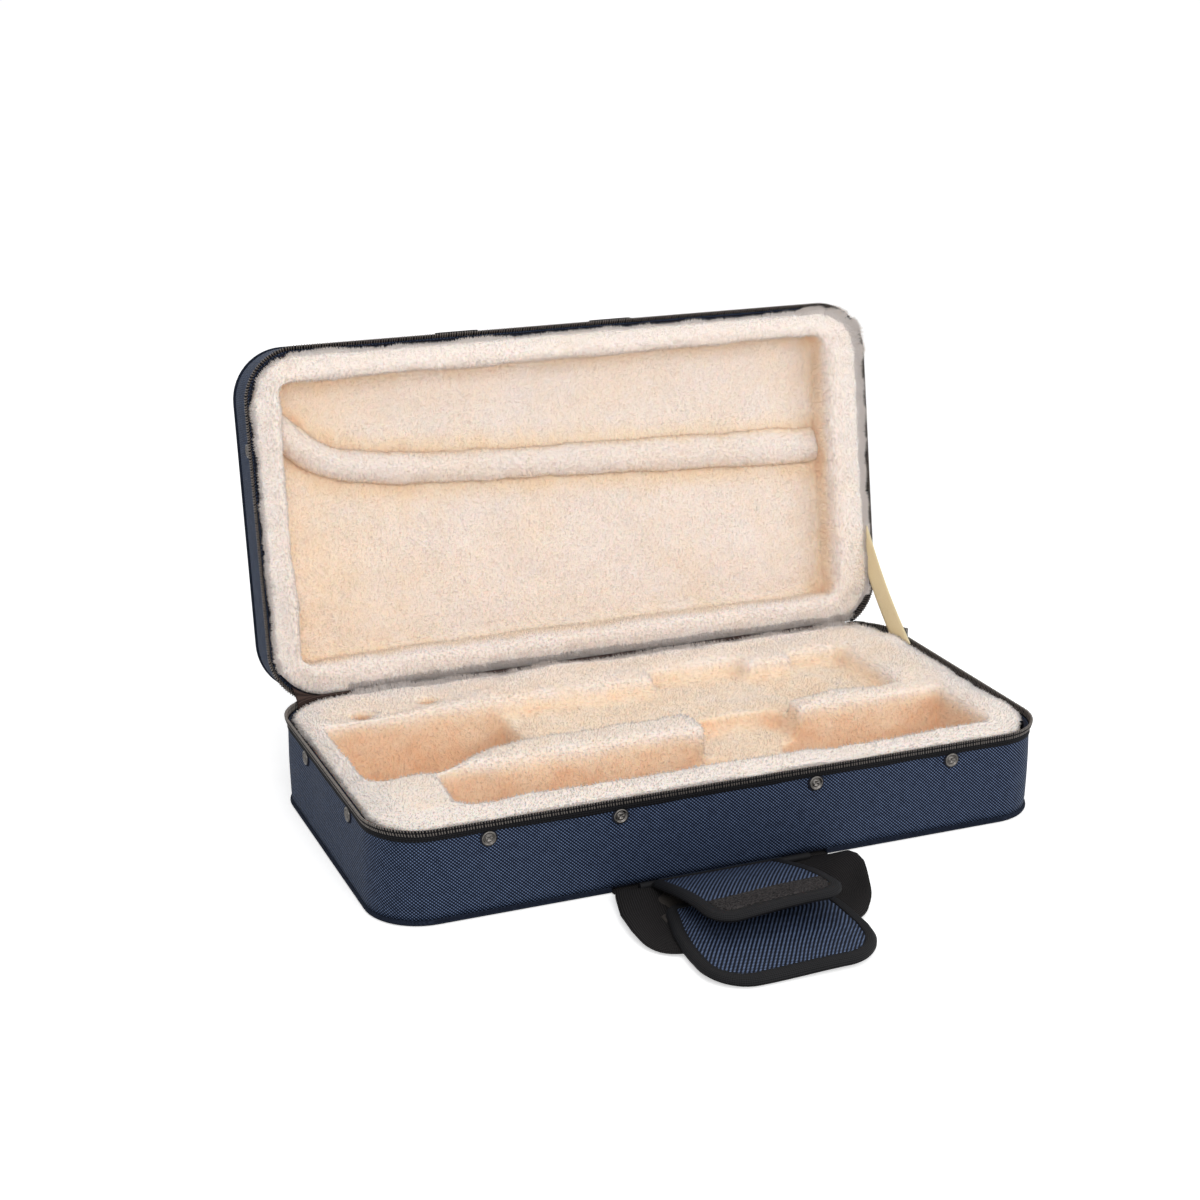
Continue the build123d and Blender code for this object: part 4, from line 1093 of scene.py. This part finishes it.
def handlePiece(name, place, lay):
    (x0, x1), half, reach, bulge = (handleSet[key] for key in ("ends", "half", "reach", "bulge"))
    outer = roundedU([(x0 - half, 0), (x0 - half - bulge, reach), (x1 + half + bulge, reach), (x1 + half, 0)],
                     handleSet["outer"])
    low = reach - 2 * half
    inner = roundedU([(x0 + half, 0), (x0 + half - bulge, low), (x1 - half + bulge, low), (x1 - half, 0)],
                     handleSet["inner"])
    across, height = bandRing(handleSet["columns"], 0.4)
    t = (across + 1) / 2
    x, y = np.moveaxis(outer[:, None] + (inner - outer)[:, None] * t[:, None], -1, 0)
    aside, rise = lay(x, y, t)
    rings = np.stack([x + aside, y, rise + height * handleSet["thick"] / 2], -1)
    return tubeMesh(name, rings, webbingPaint, walked((outer + inner) / 2), t * half * 2, place)


def tabPiece(name, place, low, end):  # the sewn ends: short ribbed tongues beside the piping
    steps, thick = 5, handleSet["thick"]
    halves = []
    for x in handleSet["ends"]:
        middles = np.array([[x, y, low + thick / 2] for y in np.linspace(handleSet["sewn"], end, steps)])
        halves.append(strap(name + "_half", middles, (1, 0, 0), (0, 0, 1), handleSet["half"], thick,
                            np.linspace(0, 0.006, steps), webbingPaint))
    piece = fuse(name, [half.data for half in halves])
    for half in halves:
        bpy.data.objects.remove(half)
    piece.data.materials.append(webbingPaint)
    piece.data.transform(place)
    return piece


def groundLay(x, y, t):
    outer = 1 - 0.75 * t
    right, left = softStep(x, 0.025, 0.050), softStep(-x, 0.050, 0.075)
    (outR, asideR, upR), (outL, asideL, upL) = handleSet["layRight"], handleSet["layLeft"]
    aside = (np.interp(y, outR, asideR) * right + np.interp(y, outL, asideL) * left) * outer
    rise = (np.interp(y, outR, upR) * right + np.interp(y, outL, upL) * left) * outer
    return aside, rise + handleSet["wavy"] * np.sin(x * 160 + y * 90) * softStep(y, 0.0, 0.02) * (right + left)


def hungLay(x, y, t):
    return 0 * x, handleSet["wavy"] * np.sin(x * 40) * np.clip(y / 0.04, 0, 1)


# strap planes: x along the case, y away from the knuckle, z towards what lies over it
basePlane = Matrix(((1, 0, 0, 0), (0, -1, 0, -0.1463), (0, 0, 1, 0.001), (0, 0, 0, 1)))
lidPlane = Matrix(((1, 0, 0, 0), (0, 0, 1, 0.245155), (0, -1, 0, 0.344443), (0, 0, 0, 1)))
lidTabs = case["lidHeight"] - handleSet["thick"]
settle(handlePiece("base_handle_strap", basePlane, groundLay), "base_handle", "webbing", "base_handle_webbing")
settle(handlePiece("lid_handle_strap", lidPlane, hungLay), "lid_handle", "webbing", "lid_handle_webbing")
settle(tabPiece("base_strap_tabs", still, 0.0, -0.14495), "base", "webbing", "base_handle_tabs")
settle(tabPiece("lid_strap_tabs", lidFrame, lidTabs, -0.1434), "lid", "webbing", "lid_handle_tabs")
print("handles made")

gripSet = {
    "thick": 0.005, "bind": 0.0082, "proud": 0.0007, "pitch": 0.0035, "crown": 0.003,
    "upper": {"origin": (-0.018, -0.150, 0.0051), "width": 0.106, "y0": 0.0032, "y1": 0.1132, "near": 0, "far": 0.020,
              "steep": 0.034, "rise": 0.0225, "level": -0.002, "drop": 0.0216, "wavy": 0.0007, "rightUp": 0.0022},
    "lower": {"origin": (-0.024, -0.2676, 0.0054), "width": 0.138, "y0": -0.0780, "y1": 0.0452, "near": 0.010,
              "far": 0.032, "droop": -0.0016, "wavy": 0.0008, "crown": 0.0012, "backDown": 0.0012,
              "leftOut": ((0, 0.014, 0.035, 0.072), (0, 0.001, 0.004, 0.014)), "rightIn": 0.0075, "rightBackIn": 0.010},
    "tilt": math.radians(11.0),
    "strip": {"wide": 0.022, "thick": 0.0012, "gap": 0.0002, "pitch": 0.0012, "columns": 80, "seed": 77},
    "liner": {"left": -0.084, "right": 0.048, "near": -0.1525, "far": -0.2120, "z": 0.0030, "thick": 0.0008,
              "wavy": 0.0008, "steps": 24, "columns": 30},
}


def flapGrid(width, y0, y1, near, far, pitch, columns, openNear):
    # rows of points over a flap with rounded corners, and how far inside its edge each one is
    low, high = y0 + near, y1 - far
    ys = np.linspace(low, high, max(3, int((y1 - far - y0 - near) / pitch)))
    if near > 0:
        ys = np.concatenate([low - near * np.cos(np.linspace(0, math.pi / 2, 7))[:-1], ys])
    if far > 0:
        ys = np.concatenate([ys, high + far * np.sin(np.linspace(0, math.pi / 2, 9))[1:]])
    half = np.full_like(ys, width / 2)
    for radius, beyond in ((near, low - ys), (far, ys - high)):
        at = beyond > 0
        half[at] = width / 2 - radius + np.sqrt(np.maximum(radius ** 2 - beyond[at] ** 2, 0))
    x = half[:, None] * np.linspace(-1, 1, columns)
    y = np.repeat(ys[:, None], columns, 1)
    inside = np.minimum(width / 2 - np.abs(x), y1 - y)
    if not openNear:
        inside = np.minimum(inside, y - y0)
    for radius, beyond in ((far, y - high), (near, low - y)):
        if radius > 0:
            px = np.abs(x) - (width / 2 - radius)
            corner = (px > 0) & (beyond > 0)
            inside = np.where(corner, np.minimum(inside, radius - np.hypot(px, beyond)), inside)
    return x, y, inside


def flapSkin(name, x, y, top, under, shape, paint, mapped):
    top, under = (shape(np.stack([x, y, z], -1).reshape(-1, 3)) for z in (top, under))
    uv = np.stack([x, y], -1).reshape(-1, 2) if mapped else None
    return skinMesh(name, top, under, len(x), paint, uv)


def padPiece(name, spec, shape, columns):  # a quilted pad with both faces, crowned towards its edge
    plan = [spec[key] for key in ("width", "y0", "y1", "near", "far")]
    x, y, inside = flapGrid(*plan, gripSet["pitch"], columns, spec["near"] == 0)
    crown = np.sqrt(np.clip(1 - (1 - np.clip(inside / gripSet["crown"], 0, 1)) ** 2, 0.04, 1))
    half = gripSet["thick"] / 2 * crown
    return flapSkin(name, x, y, half, -half, shape, flapPaint, True)


def stripPiece(name, spec, shape, face):  # fuzzy strip along the far edge, just behind the binding
    g = gripSet["strip"]
    margin = gripSet["bind"] + g["gap"]
    y1 = spec["y1"] - margin
    x, y, inside = flapGrid(spec["width"] - 2 * margin, y1 - g["wide"], y1, 0, max(spec["far"] - margin, 0.001),
                            g["pitch"], g["columns"], False)
    ragged = np.random.default_rng(g["seed"]).uniform(-0.0002, 0.0002, x.shape) * (inside > 0.0006)
    tall = g["thick"] * np.clip(inside / 0.0008, 0.15, 1) + ragged
    base = gripSet["thick"] / 2
    return flapSkin(name, x, y, face * (base + tall), face * base + x * 0, shape, stripPaint, False)


def bindingPath(spec, pitch=0.003):  # the flap's bound edge; open on a side that isn't bound
    near, far = spec["near"], spec["far"]
    w, y0, y1 = spec["width"] / 2, spec["y0"], spec["y1"]
    path = []

    def run(a, b, normal):
        pathRun(path, a, b, normal, max(2, int(math.dist(a, b) / pitch)) - 1)

    run((-w, y0 + near), (-w, y1 - far), (-1, 0))
    pathArc(path, -w + far, y1 - far, far, 180, -90, 12)
    run((-w + far, y1), (w - far, y1), (0, 1))
    pathArc(path, w - far, y1 - far, far, 90, -90, 12)
    run((w, y1 - far), (w, y0 + near), (1, 0))
    if near > 0:
        pathArc(path, w - near, y0 + near, near, 0, -90, 12)
        run((w - near, y0), (-w + near, y0), (0, -1))
        pathArc(path, -w + near, y0 + near, near, -90, -90, 12)
        return pathDone(path)
    path.append((w, y0, 1, 0))
    return *pathDone(path)[:3], None


def bindingPiece(name, spec, shape):
    h, w, p = gripSet["thick"] / 2, gripSet["bind"], gripSet["proud"]
    half = [(-w, h + 0.0001), (-w + 0.0003, h + p * 0.75), (-w * 0.7, h + p), (-w * 0.4, h + p),
            (-w * 0.22, h + p * 0.7), (-w * 0.08, h * 0.8)]
    inside = [(-w * 0.7, -h + 0.0003), (-w * 0.25, -h * 0.7), (-0.0004, 0), (-w * 0.25, h * 0.7),
              (-w * 0.7, h - 0.0003)]
    profile = half + [(p, h * 0.42), (p, -h * 0.42)] + [(out, -up) for out, up in reversed(half)] + inside
    piece = sweep(name, bindingPath(spec), profile, bindingPaint)
    setCoords(piece.data, shape(coords(piece.data)))
    return piece


def upperShape(points):
    spec, tilt = gripSet["upper"], gripSet["tilt"]
    x, y, z = points.T
    share = np.clip((y - spec["y0"]) / (spec["y1"] - spec["y0"]), 0, 1)
    square, cube = share ** 2, share ** 3
    # rises steeply by the spine and levels out at the far edge, a little higher at the right
    rise = spec["steep"] * (cube - 2 * square + share) + spec["rise"] * (3 * square - 2 * cube)
    rise += spec["level"] * (cube - square) - spec["drop"] * share
    z = z + rise + (spec["wavy"] * np.sin(x * 55 + 1) + spec["rightUp"] * x / 0.053) * share
    x0, y0, z0 = spec["origin"]
    c, s = math.cos(tilt), math.sin(tilt)
    return np.stack([x0 + x, y0 - (y * c - z * s), z0 + y * s + z * c], 1)


def lowerShape(points):
    spec = gripSet["lower"]
    x, y, z = points.T
    share = np.clip(y / spec["y1"], 0, 1)
    right, left = np.clip(x / 0.06, 0, 1), np.clip(-x / 0.06, 0, 1)
    x = x - spec["rightIn"] * share * right + np.interp(-y, *spec["leftOut"]) * left
    x = x - np.clip((-y - 0.035) / 0.043, 0, 1) * spec["rightBackIn"] * np.clip(x / 0.06, 0, 1)
    z = z - spec["backDown"] * softStep(-y, 0.050, 0.070)
    droop = spec["droop"] * share ** 2 + spec["wavy"] * np.sin(x * 50) * share
    crown = spec["crown"] * np.cos(x / 0.069 * math.pi / 2)
    x0, y0, z0 = spec["origin"]
    return np.stack([x0 + x, y0 - y, z0 + z + droop + crown * (z > 0)], 1)


def linerPiece():  # the thin sheet that joins the spine to the seat
    g = gripSet["liner"]
    width = g["right"] - g["left"]
    ys = np.linspace(g["near"], g["far"], g["steps"])
    middles = np.stack([(g["left"] + g["right"]) / 2 + 0 * ys, ys, g["z"] + g["wavy"] * np.sin(ys * 210)], 1)
    piece = strap("grip_liner", middles, (1, 0, 0), (0, 0, 1), width / 2, g["thick"], g["near"] - ys, linerPaint,
                  g["columns"])
    return piece


upper, lower = gripSet["upper"], gripSet["lower"]
upperPad = padPiece("grip_upper_pad", upper, upperShape, 36)
settle(upperPad, "grip_upper", "cover_cloth", "grip_upper_panel")
upperTape = bindingPiece("grip_upper_tape", upper, upperShape)
settle(upperTape, "grip_upper", "binding_tape", "grip_upper_binding")
loopPile = stripPiece("grip_loop_pile", upper, upperShape, 1)
settle(loopPile, "grip_upper", "fastening_strip", "grip_loop_strip")
for piece in (upperPad, upperTape, loopPile):  # each of the flap's pieces gets its own copy of its mesh
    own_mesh(piece)
lowerPad = padPiece("grip_lower_pad", lower, lowerShape, 44)
lowerTape = bindingPiece("grip_lower_tape", lower, lowerShape)
for piece, slot, part in ((lowerPad, "cover_cloth", "panel"), (lowerTape, "binding_tape", "binding")):
    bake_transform(piece)
    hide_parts("grip_seat_" + part, "grip_leaf_" + part)
settle(stripPiece("grip_hook_pile", lower, lowerShape, -1), "grip_leaf", "fastening_strip", "grip_hook_strip")
settle(linerPiece(), "base_handle", "binding_tape")
print("grip made")

carriedOver = {
    "base_piping": pipingPaint, "lid_piping": pipingPaint, "base_bottom_panel": bottomPaint, "lid_top_panel": topPaint,
    "base_tray": trayPaint, "lid_tray": trayPaint, "base_zip_stops": metalPaint, "hinge_spine": hingePaint,
    "grip_spine": bindingPaint, "zip_slider": metalPaint, "slider_pin": metalPaint, "slider_pull": metalPaint,
}
for name, paint in carriedOver.items():
    nodes[name].data.materials.clear()
    nodes[name].data.materials.append(paint)

stageSet = {
    "floor": 25.0, "under": 0.0003, "grey": (0.93, 0.93, 0.93), "glow": 0.50, "dim": 0.55,
    "lens": 66.49, "sensor": 36.0, "eye": (-0.6703, -1.5076, 0.7244), "aim": (-0.0498, 0.0, 0.1775),
    "lampAim": (0, 0, 0.1),
    "lamps": {  # place, size, watts
        "key": ((-0.6, -2.3, 1.5), 1.6, 22.0), "fill": ((1.4, -1.7, 1.0), 1.6, 12.0),
        "top": ((0.1, -0.2, 2.2), 2.0, 12.0),
    },
}


def stagePaint():  # the floor shows white to the camera and keeps the object's shadow
    p = Paint("stage_white")
    seen = p.add("ShaderNodeLightPath", out="Is Camera Ray")
    diffuse = p.add("ShaderNodeBsdfDiffuse", None, {"Color": stageSet["grey"]})
    glow = p.add("ShaderNodeEmission", None, {"Strength": stageSet["glow"]})
    lifted = p.add("ShaderNodeAddShader", None, {0: diffuse, 1: glow})
    both = p.add("ShaderNodeMixShader", None, {0: seen, 1: diffuse, 2: lifted})
    p.add("ShaderNodeOutputMaterial", None, {0: both}, None)
    return p.made


def studioWorld():  # white behind the object and in metal and glass, dimmer as light
    p = Paint("studio", "worlds")
    rays = ("Is Camera Ray", "Is Glossy Ray", "Is Transmission Ray")
    seen, glossy, through = (p.add("ShaderNodeLightPath", out=ray) for ray in rays)
    dim, bright = (p.add("ShaderNodeBackground", None, {"Color": (1, 1, 1), "Strength": strength})
                   for strength in (stageSet["dim"], 1.0))
    pick = p.add("ShaderNodeMixShader", None, {0: greater(greater(seen, glossy), through), 1: dim, 2: bright})
    p.add("ShaderNodeOutputWorld", None, {0: pick}, None)
    return p.made


def aimed(name, data, place, aim):
    holder = linked(name, data)
    holder.location = place
    holder.rotation_mode = "QUATERNION"
    holder.rotation_quaternion = (Vector(aim) - Vector(place)).to_track_quat("-Z", "Y")
    return holder


far, under = stageSet["floor"], -stageSet["under"]
floorData = bpy.data.meshes.new("stage_floor")
corners = ((-far, -far), (far, -far), (far, far), (-far, far))
floorData.from_pydata([(x, y, under) for x, y in corners], [], [(0, 1, 2, 3)])
floorData.materials.append(stagePaint())
linked("stage_floor", floorData)
bpy.context.scene.world = studioWorld()
for name, (place, size, watts) in stageSet["lamps"].items():
    lamp = bpy.data.lights.new(name, "AREA")
    lamp.size, lamp.energy = size, watts
    aimed(name, lamp, place, stageSet["lampAim"])
camera = bpy.data.cameras.new("camera")
camera.lens, camera.sensor_width = stageSet["lens"], stageSet["sensor"]
bpy.context.scene.camera = aimed("camera", camera, stageSet["eye"], stageSet["aim"])
bpy.context.scene.view_settings.view_transform = "Standard"
print("stage ready")
